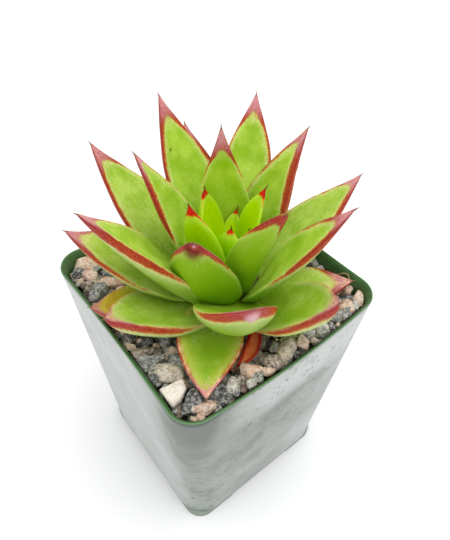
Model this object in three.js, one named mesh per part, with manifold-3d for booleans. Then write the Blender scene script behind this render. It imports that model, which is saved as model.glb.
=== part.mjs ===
// Lipstick echeveria (Echeveria agavoides) growing in a square plastic pot topped with gravel.
// Millimetres, +Z up. The pot's axis is Z, its sides face X and Y, and it stands on Z = 0.
import * as THREE from 'three';
import { mergeVertices } from 'three/addons/utils/BufferGeometryUtils.js';
import Module from 'manifold-3d';

const wasm = await Module();
wasm.setup();

// ---------------------------------------------------------------- driving dimensions

const GAP = 0.3; // clearance between two neighbouring pieces

const POT = {
  height: 125,
  rimSide: 100, // across the lip, flat to flat
  rimCorner: 10.6, // radius of the lip's corners
  lipHeight: 0.7,
  lipEdge: 0.3, // rounding of the lip's outer edge
  lipWidth: 0.8,
  lipSlope: 0.9, // height of the slope from the lip down to the inside of the wall
  footHeight: 3.2,
  footSide: 86.6,
  footCorner: 9.4,
  wall: 1,
  floor: 2, // floor thickness above the drain channels
  channel: 40, // width of the channels that cross under the floor
  pad: 13, // radius of the pad under the middle of the floor
  drainRadius: 4.5,
  drainReach: 30, // drain holes' distance from the axis
  bow: { right: 1.7, back: -1.0, left: -1.5, front: -0.8 }, // how far each side bulges at the rim
};

const SLEEVE = {
  thickness: 0.6,
  bottomSide: 87.4, // outside, flat to flat
  bottomCorner: 14.5,
  cover: 0.1, // how far the lip stands out over the sleeve
};

const FILL = {
  soilTop: 104,
  gravelTop: 116.5, // level of the gravel in the three corners that face away from the front
  frontRise: 4.5, // how much higher it lies in the front corner, which is at +X, -Y
  sideRise: 3, // how much higher it lies in the corners to the left and right of that one
  bedDepth: 3.5, // the bed that the stones are sunk in lies this far below their level
  stoneSpacing: 11,
  stemClearance: 24, // no stones within this distance of the stem, where leaves hide the bed
  seed: 20,
};

const STONE = {
  small: 3.9, // half size of the smallest and the largest stones
  large: 6.4,
  roughness: 0.3, // spread of the corners' distances from the middle, as a share of the size
  longest: [0.9, 1.2], // length, width and height as shares of the size
  widest: [0.75, 0.95],
  height: 0.7,
  tilt: 25, // greatest tilt to either side, in degrees
  sunk: 0.45, // how far the middle lies below the gravel's level, as a share of the size
  lift: 1.5, // spread of the heights
};

const PLANT = {
  x: 5, // the stem stands a little off the pot's axis
  y: 6,
  // stem radius at heights from the root to the growing tip
  stem: [[92, 5], [104, 7], [118, 12], [124, 11.5], [128, 10.5], [131, 9], [134, 7], [137, 4.5],
    [139.5, 3], [142, 1.2]],
  stemSides: 16,
};

const LEAF = {
  thickness: 0.56, // greatest thickness as a share of the half width
  thickest: 8.2,
  cup: 0.12, // rise of the margins above the midline, as a share of the half width
  keel: 1.4, // how keeled the underside is at the tip: 2 is round, 1 is a wedge
  belly: 0.45, // where the curves below are widest
  rootDepth: 2, // how far the base reaches in towards the stem before it is trimmed to it
  mucro: 1.8, // length of the needle at the tip
  mucroRadius: 0.3,
  stations: [0, 0.12, 0.26, 0.4, 0.54, 0.67, 0.79, 0.9, 0.96, 1],
  steps: 4, // steps between two stations when the midline is followed
  topShares: [1, 0, -1], // places across a section, as shares of the half width
  undersideShares: [-0.88, -0.45, 0, 0.45, 0.88],
};

// Half width and thickness along a leaf, as shares of their greatest values.
const WIDTH_CURVE = [[0, 0.6], [0.12, 0.74], [0.28, 0.93], [0.45, 1], [0.6, 0.93], [0.75, 0.7],
  [0.87, 0.4], [0.95, 0.16], [1, 0.03]];
const THICKNESS_CURVE = [[0, 0.5], [0.15, 0.8], [0.4, 1], [0.65, 0.92], [0.85, 0.62], [0.95, 0.3],
  [1, 0.06]];

// The leaves, from the heart of the rosette outwards. seat is the height on the stem where a leaf
// springs from it, and azimuth its direction in degrees from +X towards +Y. riseBase and riseTip
// are the slope of its midline at its two ends, sweep is how far the azimuth turns along it, and
// roll turns its blade about its own length. half is its greatest half width, and belly is where
// along its length it has it.
const LEAF_COLUMNS = ['name', 'azimuth', 'seat', 'riseBase', 'riseTip', 'length', 'half', 'sweep',
  'roll', 'belly'];
const LEAF_ROWS = [
  ['leaf_heart_0', 60, 139.5, 70, 88, 12, 4, 0, 0, 0.38],
  ['leaf_heart_1', 298, 139.5, 74, 100, 17, 6, -3, -5, 0.38],
  ['leaf_heart_2', 151, 135.5, 71, 55, 18, 4.5, -41, -16, 0.38],
  ['leaf_heart_3', 80, 136.5, 95, 60, 33, 6.5, -2, -1, 0.38],
  ['leaf_heart_4', 204, 136, 67, 85, 32, 8, 0, 2, 0.38],
  ['leaf_heart_5', 266, 131, 76, 73, 46, 7.5, 18, 23, 0.38],
  ['leaf_inner_1', -30, 130, 76, 57, 62, 6.5, 36, -36, 0.3],
  ['leaf_inner_2', 159, 129, 78, 74, 55, 12, -8, -9, 0.25],
  ['leaf_inner_3', 290, 125.5, 57, 78, 48, 13, 8, 12, 0.4],
  ['leaf_inner_4', 228, 129, 69, 63, 61, 10, 5, -17, 0.3],
  ['leaf_inner_5', 104, 131, 70, 56, 58, 12, -26, -8, 0.3],
  ['leaf_outer_1', 170, 127, 40, 58, 72, 13, 12, 11, 0.36],
  ['leaf_outer_2', 134, 127, 34, 54, 71, 11.5, -2, -4, 0.42],
  ['leaf_outer_3', 3, 126.5, 66, 55, 66, 11, 34, 15, 0.3],
  ['leaf_outer_4', 83, 126.5, 24, 37, 59, 14, -2, -12, 0.3],
  ['leaf_outer_5', 213, 126, 38, 57, 69, 14.5, -2, -4, 0.3],
  ['leaf_outer_6', 318, 124.5, 36, 59, 59, 14.5, 23, -4, 0.45],
  ['leaf_outer_7', 262, 122, 60, 44, 71, 16, -16, 10, 0.3],
  ['leaf_outer_8', 165, 124.5, 28, 53, 63, 12, -4, 1, 0.42],
  ['leaf_outer_9', 113, 123.5, 27, 40, 48.5, 8.5, -11, -3, 0.3],
  ['leaf_low_1', 1, 121, 31, 53, 53, 14.5, 4, 10, 0.45],
  ['leaf_low_2', 237, 121.5, 28, 43, 62, 14, 5, -3, 0.38],
  ['leaf_low_3', 50, 121.5, 0, 13, 39, 11.5, 1, -10, 0.45],
  ['leaf_low_4', 303, 121.5, 22, -8, 48, 12.5, 23, -8, 0.45],
  ['leaf_low_5', 272, 120, 20, 39, 54, 16, 3, 11, 0.45],
  ['leaf_low_6', 255, 120, 1, 29, 49, 13.5, -1, 3, 0.45],
  ['leaf_low_7', 187, 121, 8, 26, 50, 13, 0, 0, 0.45],
  ['leaf_low_8', 140, 121, 2, 25, 50, 13, 0, 0, 0.45],
  ['leaf_low_9', 210, 118.5, -4, 10, 42, 12.5, 0, 0, 0.45],
  ['leaf_low_10', 162, 118.5, 4, 26, 46, 12, 0, 0, 0.45],
  ['leaf_low_11', 118, 120, 18, 28, 46, 11, 0, 0, 0.45],
  ['leaf_low_12', 88, 120.5, 18, 28, 44, 11, 0, 0, 0.45],
];
// Leaves whose tip is blunter than the others': the power that their half width is raised to.
const BLUNT_LEAVES = { leaf_inner_1: 0.5, leaf_inner_3: 0.65, leaf_outer_6: 0.8 };
const LEAVES = LEAF_ROWS.map((row) => Object.fromEntries(
  row.map((value, column) => [LEAF_COLUMNS[column], value]),
));

// A withered leaf that lies on the gravel under the others.
const FADED_LEAF = {
  name: 'leaf_faded', azimuth: 351, seat: 119, riseBase: -3, riseTip: 7, length: 33, half: 3,
  sweep: -77, roll: 0, belly: 0.6, thickness: 0.56,
};

const COLOUR = {
  leaf: 0x8cbd2e,
  fadedLeaf: 0xc8492a,
  stem: 0x7d9440,
  pot: 0x4d7a3e,
  sleeve: 0xd3d7d2,
  soil: 0x3a2e25,
  gravel: 0x9a8e84,
};

// ---------------------------------------------------------------- small helpers

const radians = (degrees) => THREE.MathUtils.degToRad(degrees);

/** Repeatable random numbers between 0 and 1. */
function seededRandom(seed) {
  let state = seed;
  return () => {
    state = (state * 1664525 + 1013904223) % 4294967296;
    return state / 4294967296;
  };
}

/** Straight-line reading of a list of [position, value] knots. */
function readCurve(knots, position) {
  for (let i = 1; i < knots.length; i += 1) {
    const [x0, y0] = knots[i - 1];
    const [x1, y1] = knots[i];
    if (position <= x1) {
      return THREE.MathUtils.mapLinear(Math.max(position, x0), x0, x1, y0, y1);
    }
  }
  return knots[knots.length - 1][1];
}

// ---------------------------------------------------------------- closed surfaces

/** The mean of a ring's points. */
function middleOf(ring) {
  const sum = ring.reduce((total, p) => total.add(p), new THREE.Vector3());
  return sum.divideScalar(ring.length);
}

/** Joins rings of points into one closed surface, with a fan over each end. */
function loft(rings, endTip = middleOf(rings[rings.length - 1])) {
  const count = rings[0].length;
  const points = [...rings.flat(), middleOf(rings[0]), endTip];
  const start = points.length - 2;
  const end = points.length - 1;
  const index = [];
  for (let i = 0; i < count; i += 1) {
    const j = (i + 1) % count;
    for (let ring = 0; ring < rings.length - 1; ring += 1) {
      const here = ring * count;
      const next = here + count;
      index.push(here + i, here + j, next + j, here + i, next + j, next + i);
    }
    const top = (rings.length - 1) * count;
    index.push(start, j, i, end, top + i, top + j);
  }
  const geometry = new THREE.BufferGeometry().setFromPoints(points);
  geometry.setIndex(index);
  return geometry;
}

/** A closed geometry as a solid that can be joined and cut. */
function toSolid(geometry) {
  const bare = geometry.clone();
  bare.deleteAttribute('normal');
  bare.deleteAttribute('uv');
  const merged = mergeVertices(bare, 1e-4);
  const corners = Array.from(merged.index.array);
  const triangles = [];
  for (let i = 0; i < corners.length; i += 3) {
    const [a, b, c] = corners.slice(i, i + 3);
    if (a !== b && b !== c && c !== a) {
      triangles.push(a, b, c);
    }
  }
  return new wasm.Manifold(new wasm.Mesh({
    numProp: 3,
    vertProperties: new Float32Array(merged.attributes.position.array),
    triVerts: new Uint32Array(triangles),
  }));
}

/** A joined or cut solid as a geometry. */
function toGeometry(solid) {
  const mesh = solid.getMesh();
  const geometry = new THREE.BufferGeometry();
  geometry.setAttribute('position', new THREE.Float32BufferAttribute(mesh.vertProperties, 3));
  geometry.setIndex(Array.from(mesh.triVerts));
  geometry.computeVertexNormals();
  return geometry;
}

/** The largest of the bodies that a cut leaves. */
function largestBody(solid) {
  const bodies = solid.decompose();
  return bodies.reduce((best, body) => (body.volume() > best.volume() ? body : best));
}

function boxesMeet(a, b) {
  const boxA = a.boundingBox();
  const boxB = b.boundingBox();
  return [0, 1, 2].every((k) => boxA.min[k] < boxB.max[k] && boxB.min[k] < boxA.max[k]);
}

// ---------------------------------------------------------------- pot and sleeve

const CORNER_STEPS = 5;
const SIDE_STEPS = 4;
const BODY_LEVELS = [45, 85]; // extra outlines, because the bulging sides twist a little

/** Outline of a rounded square whose sides bulge by POT.bow times bowShare. */
function squareRing(side, corner, z, bowShare = 0) {
  const flat = side / 2 - corner;
  const bows = [POT.bow.right, POT.bow.back, POT.bow.left, POT.bow.front];
  const ring = [];
  for (let quarter = 0; quarter < 4; quarter += 1) {
    const turn = radians(90 * quarter);
    const place = (x, y) => {
      ring.push(new THREE.Vector3(x * Math.cos(turn) - y * Math.sin(turn),
        x * Math.sin(turn) + y * Math.cos(turn), z));
    };
    for (let i = 1; i < SIDE_STEPS; i += 1) {
      const along = -1 + (2 * i) / SIDE_STEPS;
      place(side / 2 + bows[quarter] * bowShare * (1 - along * along), along * flat);
    }
    for (let i = 0; i <= CORNER_STEPS; i += 1) {
      const angle = radians((90 * i) / CORNER_STEPS);
      place(flat + corner * Math.cos(angle), flat + corner * Math.sin(angle));
    }
  }
  return ring;
}

const sleeveBottom = POT.footHeight + GAP;
const sleeveTop = POT.height - POT.lipHeight - GAP;
const bodyInset = SLEEVE.thickness + GAP; // the pot's body lies this far inside the sleeve's face
const insideInset = bodyInset + POT.wall;
const floorTop = POT.footHeight + POT.floor;

/** Outline of the tapered body at one height, inset from the sleeve's outer face. */
function bodyRing(z, inset) {
  const share = (z - sleeveBottom) / (sleeveTop - sleeveBottom);
  const topSide = POT.rimSide - 2 * SLEEVE.cover;
  const side = THREE.MathUtils.lerp(SLEEVE.bottomSide, topSide, share);
  const corner = THREE.MathUtils.lerp(SLEEVE.bottomCorner, POT.rimCorner, share);
  return squareRing(side - 2 * inset, corner - inset, z, share);
}

/** A solid block of the tapered body between two heights. */
function bodyBlock(bottom, top, inset) {
  const inner = BODY_LEVELS.filter((z) => z > bottom && z < top);
  return toSolid(loft([bottom, ...inner, top].map((z) => bodyRing(z, inset))));
}

/** An upright cylinder between two heights, off the axis by x. */
function upright(radius, bottom, top, sides, x = 0) {
  const cylinder = new THREE.CylinderGeometry(radius, radius, top - bottom, sides);
  cylinder.rotateX(Math.PI / 2);
  cylinder.translate(x, 0, (top + bottom) / 2);
  return cylinder;
}

/** The space inside the pot, which opens out along the lip's slope at the top. */
function potHollow() {
  const levels = [floorTop, ...BODY_LEVELS, POT.height - POT.lipSlope];
  const mouth = bodyRing(POT.height + POT.lipSlope, 2 * POT.lipWidth - insideInset);
  return toSolid(loft([...levels.map((z) => bodyRing(z, insideInset)), mouth]));
}

function makePot() {
  const lipBottom = POT.height - POT.lipHeight;
  const { rimSide, rimCorner, lipEdge, height, footSide, footCorner, footHeight } = POT;
  const feet = toSolid(loft([
    squareRing(footSide, footCorner, 0),
    squareRing(footSide, footCorner, footHeight),
  ]));
  const lip = toSolid(loft([
    squareRing(rimSide, rimCorner, lipBottom, 1),
    squareRing(rimSide, rimCorner, height - lipEdge, 1),
    squareRing(rimSide - 2 * lipEdge, rimCorner - lipEdge, height, 1),
  ]));
  let pot = bodyBlock(footHeight / 2, height - lipEdge, bodyInset).add(feet).add(lip)
    .subtract(potHollow());
  for (const [length, width] of [[rimSide, POT.channel], [POT.channel, rimSide]]) {
    pot = pot.subtract(toSolid(new THREE.BoxGeometry(length, width, 2 * footHeight)));
  }
  pot = pot.add(toSolid(upright(POT.pad, 0, footHeight + POT.floor / 2, 24)));
  for (let quarter = 0; quarter < 4; quarter += 1) {
    const drain = upright(POT.drainRadius, 0, 2 * floorTop, 16, POT.drainReach);
    drain.rotateZ(radians(90 * quarter));
    pot = pot.subtract(toSolid(drain));
  }
  return pot;
}

function makeSleeve() {
  return bodyBlock(sleeveBottom, sleeveTop, 0)
    .subtract(bodyBlock(sleeveBottom - 1, sleeveTop + 1, SLEEVE.thickness));
}

// ---------------------------------------------------------------- stem and leaves

/** The stem from its root to the growing tip, swollen by grow on every side. */
function stemSolid(grow = 0) {
  const knots = PLANT.stem;
  const outline = knots.map(([z, radius]) => new THREE.Vector2(radius + grow, z));
  outline.unshift(new THREE.Vector2(0, knots[0][0] - grow));
  outline.push(new THREE.Vector2(0, knots[knots.length - 1][0] + grow));
  const stem = new THREE.LatheGeometry(outline, PLANT.stemSides);
  stem.rotateX(Math.PI / 2);
  stem.translate(PLANT.x, PLANT.y, 0);
  return toSolid(stem);
}

/** Unit vectors along, across and up from a leaf's blade at share t of its length. */
function leafFrame(leaf, t) {
  const azimuth = radians(leaf.azimuth + leaf.sweep * t);
  const rise = radians(THREE.MathUtils.lerp(leaf.riseBase, leaf.riseTip, t));
  const along = new THREE.Vector3(Math.cos(rise) * Math.cos(azimuth),
    Math.cos(rise) * Math.sin(azimuth), Math.sin(rise));
  const across = new THREE.Vector3(-Math.sin(azimuth), Math.cos(azimuth), 0);
  const up = new THREE.Vector3().crossVectors(along, across);
  across.applyAxisAngle(along, radians(leaf.roll));
  up.applyAxisAngle(along, radians(leaf.roll));
  return { along, across, up };
}

/**
 * One cross-section of a leaf: a shallow trough on top, from margin to margin, and a rounded
 * underside that turns into a keel as its power falls from 2 towards 1.
 */
function leafSection(centre, frame, half, thickness, power, grow) {
  const place = (share, drop) => centre.clone()
    .addScaledVector(frame.across, share * (half + grow))
    .addScaledVector(frame.up, LEAF.cup * half * share * share + grow - drop * (thickness + 2 * grow));
  const top = LEAF.topShares.map((share) => place(share, 0));
  const underside = LEAF.undersideShares.map(
    (share) => place(share, Math.sqrt(1 - Math.abs(share) ** power)),
  );
  return [...top, ...underside];
}

/** A thick pointed leaf with a needle at its tip, swollen by grow to cut its neighbours clear. */
function leafSolid(leaf, grow = 0) {
  const stretch = Math.log(LEAF.belly) / Math.log(leaf.belly);
  const thickest = Math.min((leaf.thickness ?? LEAF.thickness) * leaf.half, LEAF.thickest);
  const azimuth = radians(leaf.azimuth);
  const point = new THREE.Vector3(Math.cos(azimuth), Math.sin(azimuth), 0)
    .multiplyScalar(readCurve(PLANT.stem, leaf.seat))
    .add(new THREE.Vector3(PLANT.x, PLANT.y, leaf.seat));
  const sectionAt = (centre, t) => {
    const shaped = t ** stretch;
    const half = leaf.half * readCurve(WIDTH_CURVE, shaped) ** (BLUNT_LEAVES[leaf.name] ?? 1);
    return leafSection(centre, leafFrame(leaf, t), half,
      thickest * readCurve(THICKNESS_CURVE, shaped), THREE.MathUtils.lerp(2, LEAF.keel, t), grow);
  };
  const base = point.clone().addScaledVector(leafFrame(leaf, 0).along, -LEAF.rootDepth - grow);
  const rings = [sectionAt(base, 0)];
  let before = 0;
  for (const t of LEAF.stations) {
    for (let step = 0.5; step < LEAF.steps; step += 1) {
      const middle = THREE.MathUtils.lerp(before, t, step / LEAF.steps);
      point.addScaledVector(leafFrame(leaf, middle).along, (leaf.length * (t - before)) / LEAF.steps);
    }
    rings.push(sectionAt(point, t));
    before = t;
  }
  const { along, up } = leafFrame(leaf, 1);
  const endTip = point.clone().addScaledVector(along, LEAF.mucro + grow)
    .addScaledVector(up, -LEAF.mucroRadius);
  return toSolid(loft(rings, endTip));
}

/** Leaves trimmed to the stem and to each other: the inner ones press into the outer ones. */
function trimLeaves(leaves, stem) {
  const cutters = [stem];
  return leaves.map((leaf) => {
    const whole = leafSolid(leaf);
    const near = cutters.filter((cutter) => boxesMeet(cutter, whole));
    const trimmed = near.reduce((solid, cutter) => solid.subtract(cutter), whole);
    const space = leafSolid(leaf, GAP);
    cutters.push(space);
    return { name: leaf.name, solid: largestBody(trimmed), space };
  });
}

// ---------------------------------------------------------------- soil and gravel

function makeSoil(stemSpace) {
  return bodyBlock(floorTop + GAP, FILL.soilTop, insideInset + GAP).subtract(stemSpace);
}

/** Level of the gravel, which rises towards the front corner. */
function gravelLevel(x, y) {
  const towardsFront = Math.max(0, (x - y) / POT.rimSide);
  const towardsSides = Math.abs(x + y) / POT.rimSide;
  return FILL.gravelTop + FILL.frontRise * towardsFront + FILL.sideRise * towardsSides;
}

/** An angular pebble of twelve corners, flattened and turned at random. */
function stoneSolid(random, x, y, spread) {
  const around = (width) => width * (random() - 0.5);
  const between = ([low, high]) => THREE.MathUtils.lerp(low, high, random());
  const stone = mergeVertices(new THREE.IcosahedronGeometry(1, 0).deleteAttribute('normal')
    .deleteAttribute('uv'));
  const corners = stone.getAttribute('position');
  for (let i = 0; i < corners.count; i += 1) {
    const reach = 1 + around(STONE.roughness);
    corners.setXYZ(i, corners.getX(i) * reach, corners.getY(i) * reach, corners.getZ(i) * reach);
  }
  const size = between([STONE.small, STONE.large]);
  stone.scale(size * between(STONE.longest), size * between(STONE.widest), size * STONE.height);
  stone.rotateX(radians(around(2 * STONE.tilt)));
  stone.rotateZ(radians(around(360)));
  stone.translate(x + around(spread), y + around(spread),
    gravelLevel(x, y) - size * STONE.sunk + around(STONE.lift));
  return toSolid(stone);
}

/** One bed of gravel: stones on staggered rows, sunk into the layer that carries them. */
function makeGravel(stemSpace, leafSpaces) {
  const random = seededRandom(FILL.seed);
  const bottom = bodyRing(FILL.soilTop + GAP, insideInset + GAP);
  const top = bodyRing(FILL.gravelTop - FILL.bedDepth, insideInset + GAP);
  for (const corner of top) {
    corner.z = gravelLevel(corner.x, corner.y) - FILL.bedDepth;
  }
  let gravel = toSolid(loft([bottom, top]));
  const rows = Math.ceil(POT.rimSide / FILL.stoneSpacing / 2);
  for (let row = -rows; row <= rows; row += 1) {
    for (let column = -rows; column <= rows; column += 1) {
      const x = FILL.stoneSpacing * (column + (row % 2 === 0 ? 0 : 0.5));
      const y = FILL.stoneSpacing * row;
      const fromStem = Math.hypot(x - PLANT.x, y - PLANT.y);
      if (fromStem > FILL.stemClearance) {
        gravel = gravel.add(stoneSolid(random, x, y, FILL.stoneSpacing / 3));
      }
    }
  }
  gravel = gravel.intersect(bodyBlock(FILL.soilTop + GAP, POT.height, insideInset + GAP));
  for (const space of [stemSpace, ...leafSpaces]) {
    if (boxesMeet(gravel, space)) {
      gravel = gravel.subtract(space);
    }
  }
  return largestBody(gravel);
}

// ---------------------------------------------------------------- the whole

const group = new THREE.Group();

function addPiece(name, solid, color, roughness) {
  const material = new THREE.MeshStandardMaterial({ color, roughness, metalness: 0 });
  const mesh = new THREE.Mesh(toGeometry(solid), material);
  mesh.name = name;
  group.add(mesh);
}

const stemSpace = stemSolid(GAP);
const leaves = trimLeaves([...LEAVES, FADED_LEAF], stemSpace);

addPiece('pot', makePot(), COLOUR.pot, 0.45);
addPiece('sleeve', makeSleeve(), COLOUR.sleeve, 0.4);
addPiece('soil', makeSoil(stemSpace), COLOUR.soil, 0.95);
addPiece('gravel', makeGravel(stemSpace, leaves.map((leaf) => leaf.space)), COLOUR.gravel, 0.85);
addPiece('stem', stemSolid(), COLOUR.stem, 0.6);
for (const { name, solid } of leaves) {
  addPiece(name, solid, name === FADED_LEAF.name ? COLOUR.fadedLeaf : COLOUR.leaf, 0.4);
}

export default group;
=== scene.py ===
"""Lipstick echeveria in a square nursery pot: the finished surfaces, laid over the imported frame."""
import math

import bmesh
import bpy
import numpy as np
from mathutils import Euler, Matrix, Quaternion, Vector, noise


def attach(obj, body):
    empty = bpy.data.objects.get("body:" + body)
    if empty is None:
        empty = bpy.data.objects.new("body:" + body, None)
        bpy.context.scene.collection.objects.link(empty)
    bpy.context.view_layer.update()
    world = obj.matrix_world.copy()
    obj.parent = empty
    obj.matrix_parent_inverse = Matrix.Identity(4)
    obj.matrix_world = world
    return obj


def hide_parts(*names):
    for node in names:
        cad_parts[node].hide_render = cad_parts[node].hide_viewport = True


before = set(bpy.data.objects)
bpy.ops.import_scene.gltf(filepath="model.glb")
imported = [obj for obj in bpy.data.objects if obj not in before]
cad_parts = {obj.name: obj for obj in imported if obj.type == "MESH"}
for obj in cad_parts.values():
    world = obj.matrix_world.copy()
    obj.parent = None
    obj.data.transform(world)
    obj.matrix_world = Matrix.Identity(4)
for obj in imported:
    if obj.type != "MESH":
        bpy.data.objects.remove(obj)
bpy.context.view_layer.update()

MM = 0.001  # the sizes below are millimetres, and Blender's unit is the metre
SEED = 7

# ---------------------------------------------------------------- driving dimensions

CAMERA = {
    "azimuth": 50.32, "elevation": 46.88, "roll": 1.95,  # degrees
    "target": (2.85, 3.44, 129.78), "distance": 205.4,
}
IMAGE_HEIGHT = 540  # pixels; the image is upright, so its height is the side that the sensor spans
FOCAL_PIXELS = 494.1
SENSOR = 36  # mm

POT = {
    "height": 125, "rim_side": 100, "rim_corner": 10.6,
    "lip_height": 0.55, "lip_round": 0.2, "lip_width": 0.6, "lip_slope": 2.5,
    "foot_height": 3.2, "foot_side": 86.6, "foot_corner": 9.4, "channel": 40, "pad": 13,
    "foot_sunk": 0.4,  # how far the feet reach into the floor
    "foot_bevel": 0.35, "foot_shrink": 0.985,  # height of the bevel, and size of its lower edge
    # The feet and the lowest part of the wall darken towards the floor in painted shadow.
    "foot_tone_top": 12,  # below this height the wall looks as pale as the feet
    "wall": 1, "floor": 2, "drain_radius": 4.5, "drain_reach": 30, "drain_depth": 8,
    "inside_rings": 12, "outside_rings": 10,
    "bows": (1.7, -1.0, -1.5, -0.8),  # how far the right, back, left and front sides bulge at the rim
}
SLEEVE = {
    "thickness": 0.6, "bottom": 3.5, "top": 124, "bottom_side": 87.4, "top_side": 99.8,
    "bottom_corner": 14.5, "top_corner": 10.6, "rings": 40,
}
BODY_INSET = 0.9  # the pot's wall lies this far inside the sleeve's face
SIDE_POINTS = 24  # along each flat side of a rounded square
CORNER_POINTS = 14  # round each of its corners

GRAVEL = {
    "bottom": 104.3, "level": 116.5, "front_rise": 4.5, "side_rise": 3, "wall_rise": 1.5, "bed_depth": 4,
    "half_side": 47.4, "corner": 9,
    "stem_clearance": 17, "lower_layer": 4.2,
    "bed_gap": 0.3, "bed_rings": 26, "bed_roughness": 0.7,
}
# How a stone lies: its middle stands above the gravel's level by a share of its height, unless a leaf
# within some share of its reach presses it down. A stone pressed deeper than the last value is left out.
LAYING = {"raised": 0.16, "leaf_reach": 0.8, "below_leaf": 0.55, "leaf_gap": 0.2, "deepest": 7}
MAP_REACH = 60  # the map of the leaves over the gravel runs this far each way from the middle
MAP_TOP = 130  # and holds the parts of leaves below this height

STEM = {"x": 5, "y": 6, "radii": [(92, 5), (104, 7), (118, 12), (124, 11.5), (128, 10.5), (131, 9),
                                  (134, 7), (137, 4.5), (139.5, 3), (142, 1.2)]}

LEAF = {
    "thickness": 0.56, "thickest": 8.2, "cup": 0.12, "keel": 1.4, "belly": 0.45, "root_depth": 2,
    "rim": 0.45, "rim_share": 0.3,  # rounding of the rim, and the most of the thickness it takes
    "channel": 0.35, "channel_width": 0.28,  # the groove along the middle of the upper face
    "needle": 1.8, "needle_radius": 0.28, "needle_end": 0.02, "needle_drop": 0.25, "needle_low": 0.2,
    "stations": 84, "top_points": 22, "under_points": 26,
    "crowding": 1.35,  # above 1, the stations lie closer together towards the tip
}
NEEDLE_STATIONS = np.array([0.1, 0.26, 0.44, 0.62, 0.8, 0.92, 1])
MIDLINE_STEPS = 400
WIDTH_CURVE = [(0, 0.6), (0.12, 0.74), (0.28, 0.93), (0.45, 1), (0.6, 0.93), (0.75, 0.7),
               (0.87, 0.4), (0.95, 0.16), (1, 0.03)]
THICKNESS_CURVE = [(0, 0.5), (0.15, 0.8), (0.4, 1), (0.65, 0.92), (0.85, 0.62), (0.95, 0.3),
                   (1, 0.06)]

# Where each leaf grows, as in the frame: azimuth, seat height, rise at the base and at the tip,
# length, greatest half width, sweep, roll, and where along it the leaf is widest.
LEAF_PLACE = {
    "leaf_heart_0": (60, 139.5, 70, 88, 12, 4, 0, 0, 0.38),
    "leaf_heart_1": (298, 139.5, 74, 100, 17, 6, -3, -5, 0.38),
    "leaf_heart_2": (151, 135.5, 71, 55, 18, 4.5, -41, -16, 0.38),
    "leaf_heart_3": (80, 136.5, 95, 60, 33, 6.5, -2, -1, 0.38),
    "leaf_heart_4": (204, 136, 67, 85, 32, 8, 0, 2, 0.38),
    "leaf_heart_5": (266, 131, 76, 73, 46, 7.5, 18, 23, 0.38),
    "leaf_inner_1": (-30, 130, 76, 57, 62, 6.5, 36, -36, 0.3),
    "leaf_inner_2": (159, 129, 78, 74, 55, 12, -8, -9, 0.25),
    "leaf_inner_3": (290, 125.5, 57, 78, 48, 13, 8, 12, 0.4),
    "leaf_inner_4": (228, 129, 69, 63, 61, 10, 5, -17, 0.3),
    "leaf_inner_5": (104, 131, 70, 56, 58, 12, -26, -8, 0.3),
    "leaf_outer_1": (170, 127, 40, 58, 72, 13, 12, 11, 0.36),
    "leaf_outer_2": (134, 127, 34, 54, 71, 11.5, -2, -4, 0.42),
    "leaf_outer_3": (3, 126.5, 66, 55, 66, 11, 34, 15, 0.3),
    "leaf_outer_4": (83, 126.5, 24, 37, 59, 14, -2, -12, 0.3),
    "leaf_outer_5": (213, 126, 38, 57, 69, 14.5, -2, -4, 0.3),
    "leaf_outer_6": (318, 124.5, 36, 59, 59, 14.5, 23, -4, 0.45),
    "leaf_outer_7": (262, 122, 60, 44, 71, 16, -16, 10, 0.3),
    "leaf_outer_8": (165, 124.5, 28, 53, 63, 12, -4, 1, 0.42),
    "leaf_outer_9": (113, 123.5, 27, 40, 48.5, 8.5, -11, -3, 0.3),
    "leaf_low_1": (1, 121, 31, 53, 53, 14.5, 4, 10, 0.45),
    "leaf_low_2": (237, 121.5, 28, 43, 62, 14, 5, -3, 0.38),
    "leaf_low_3": (50, 121.5, 0, 13, 39, 11.5, 1, -10, 0.45),
    "leaf_low_4": (303, 121.5, 22, -8, 48, 12.5, 23, -8, 0.45),
    "leaf_low_5": (272, 120, 20, 39, 54, 16, 3, 11, 0.45),
    "leaf_low_6": (255, 120, 1, 29, 49, 13.5, -1, 3, 0.45),
    "leaf_low_7": (187, 121, 8, 26, 50, 13, 0, 0, 0.45),
    "leaf_low_8": (140, 121, 2, 25, 50, 13, 0, 0, 0.45),
    "leaf_low_9": (210, 118.5, -4, 10, 42, 12.5, 0, 0, 0.45),
    "leaf_low_10": (162, 118.5, 4, 26, 46, 12, 0, 0, 0.45),
    "leaf_low_11": (118, 120, 18, 28, 46, 11, 0, 0, 0.45),
    "leaf_low_12": (88, 120.5, 18, 28, 44, 11, 0, 0, 0.45),
    "leaf_faded": (351, 119, -3, 7, 33, 3, -77, 0, 0.6),
}
# Leaves whose tip is blunter than the others': the power that their width curve is raised to.
BLUNT_LEAVES = {"leaf_inner_1": 0.5, "leaf_inner_3": 0.65, "leaf_outer_6": 0.8}
PLACE_COLUMNS = ("azimuth", "seat", "rise_base", "rise_tip", "length", "half", "sweep", "roll",
                 "belly")

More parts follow.
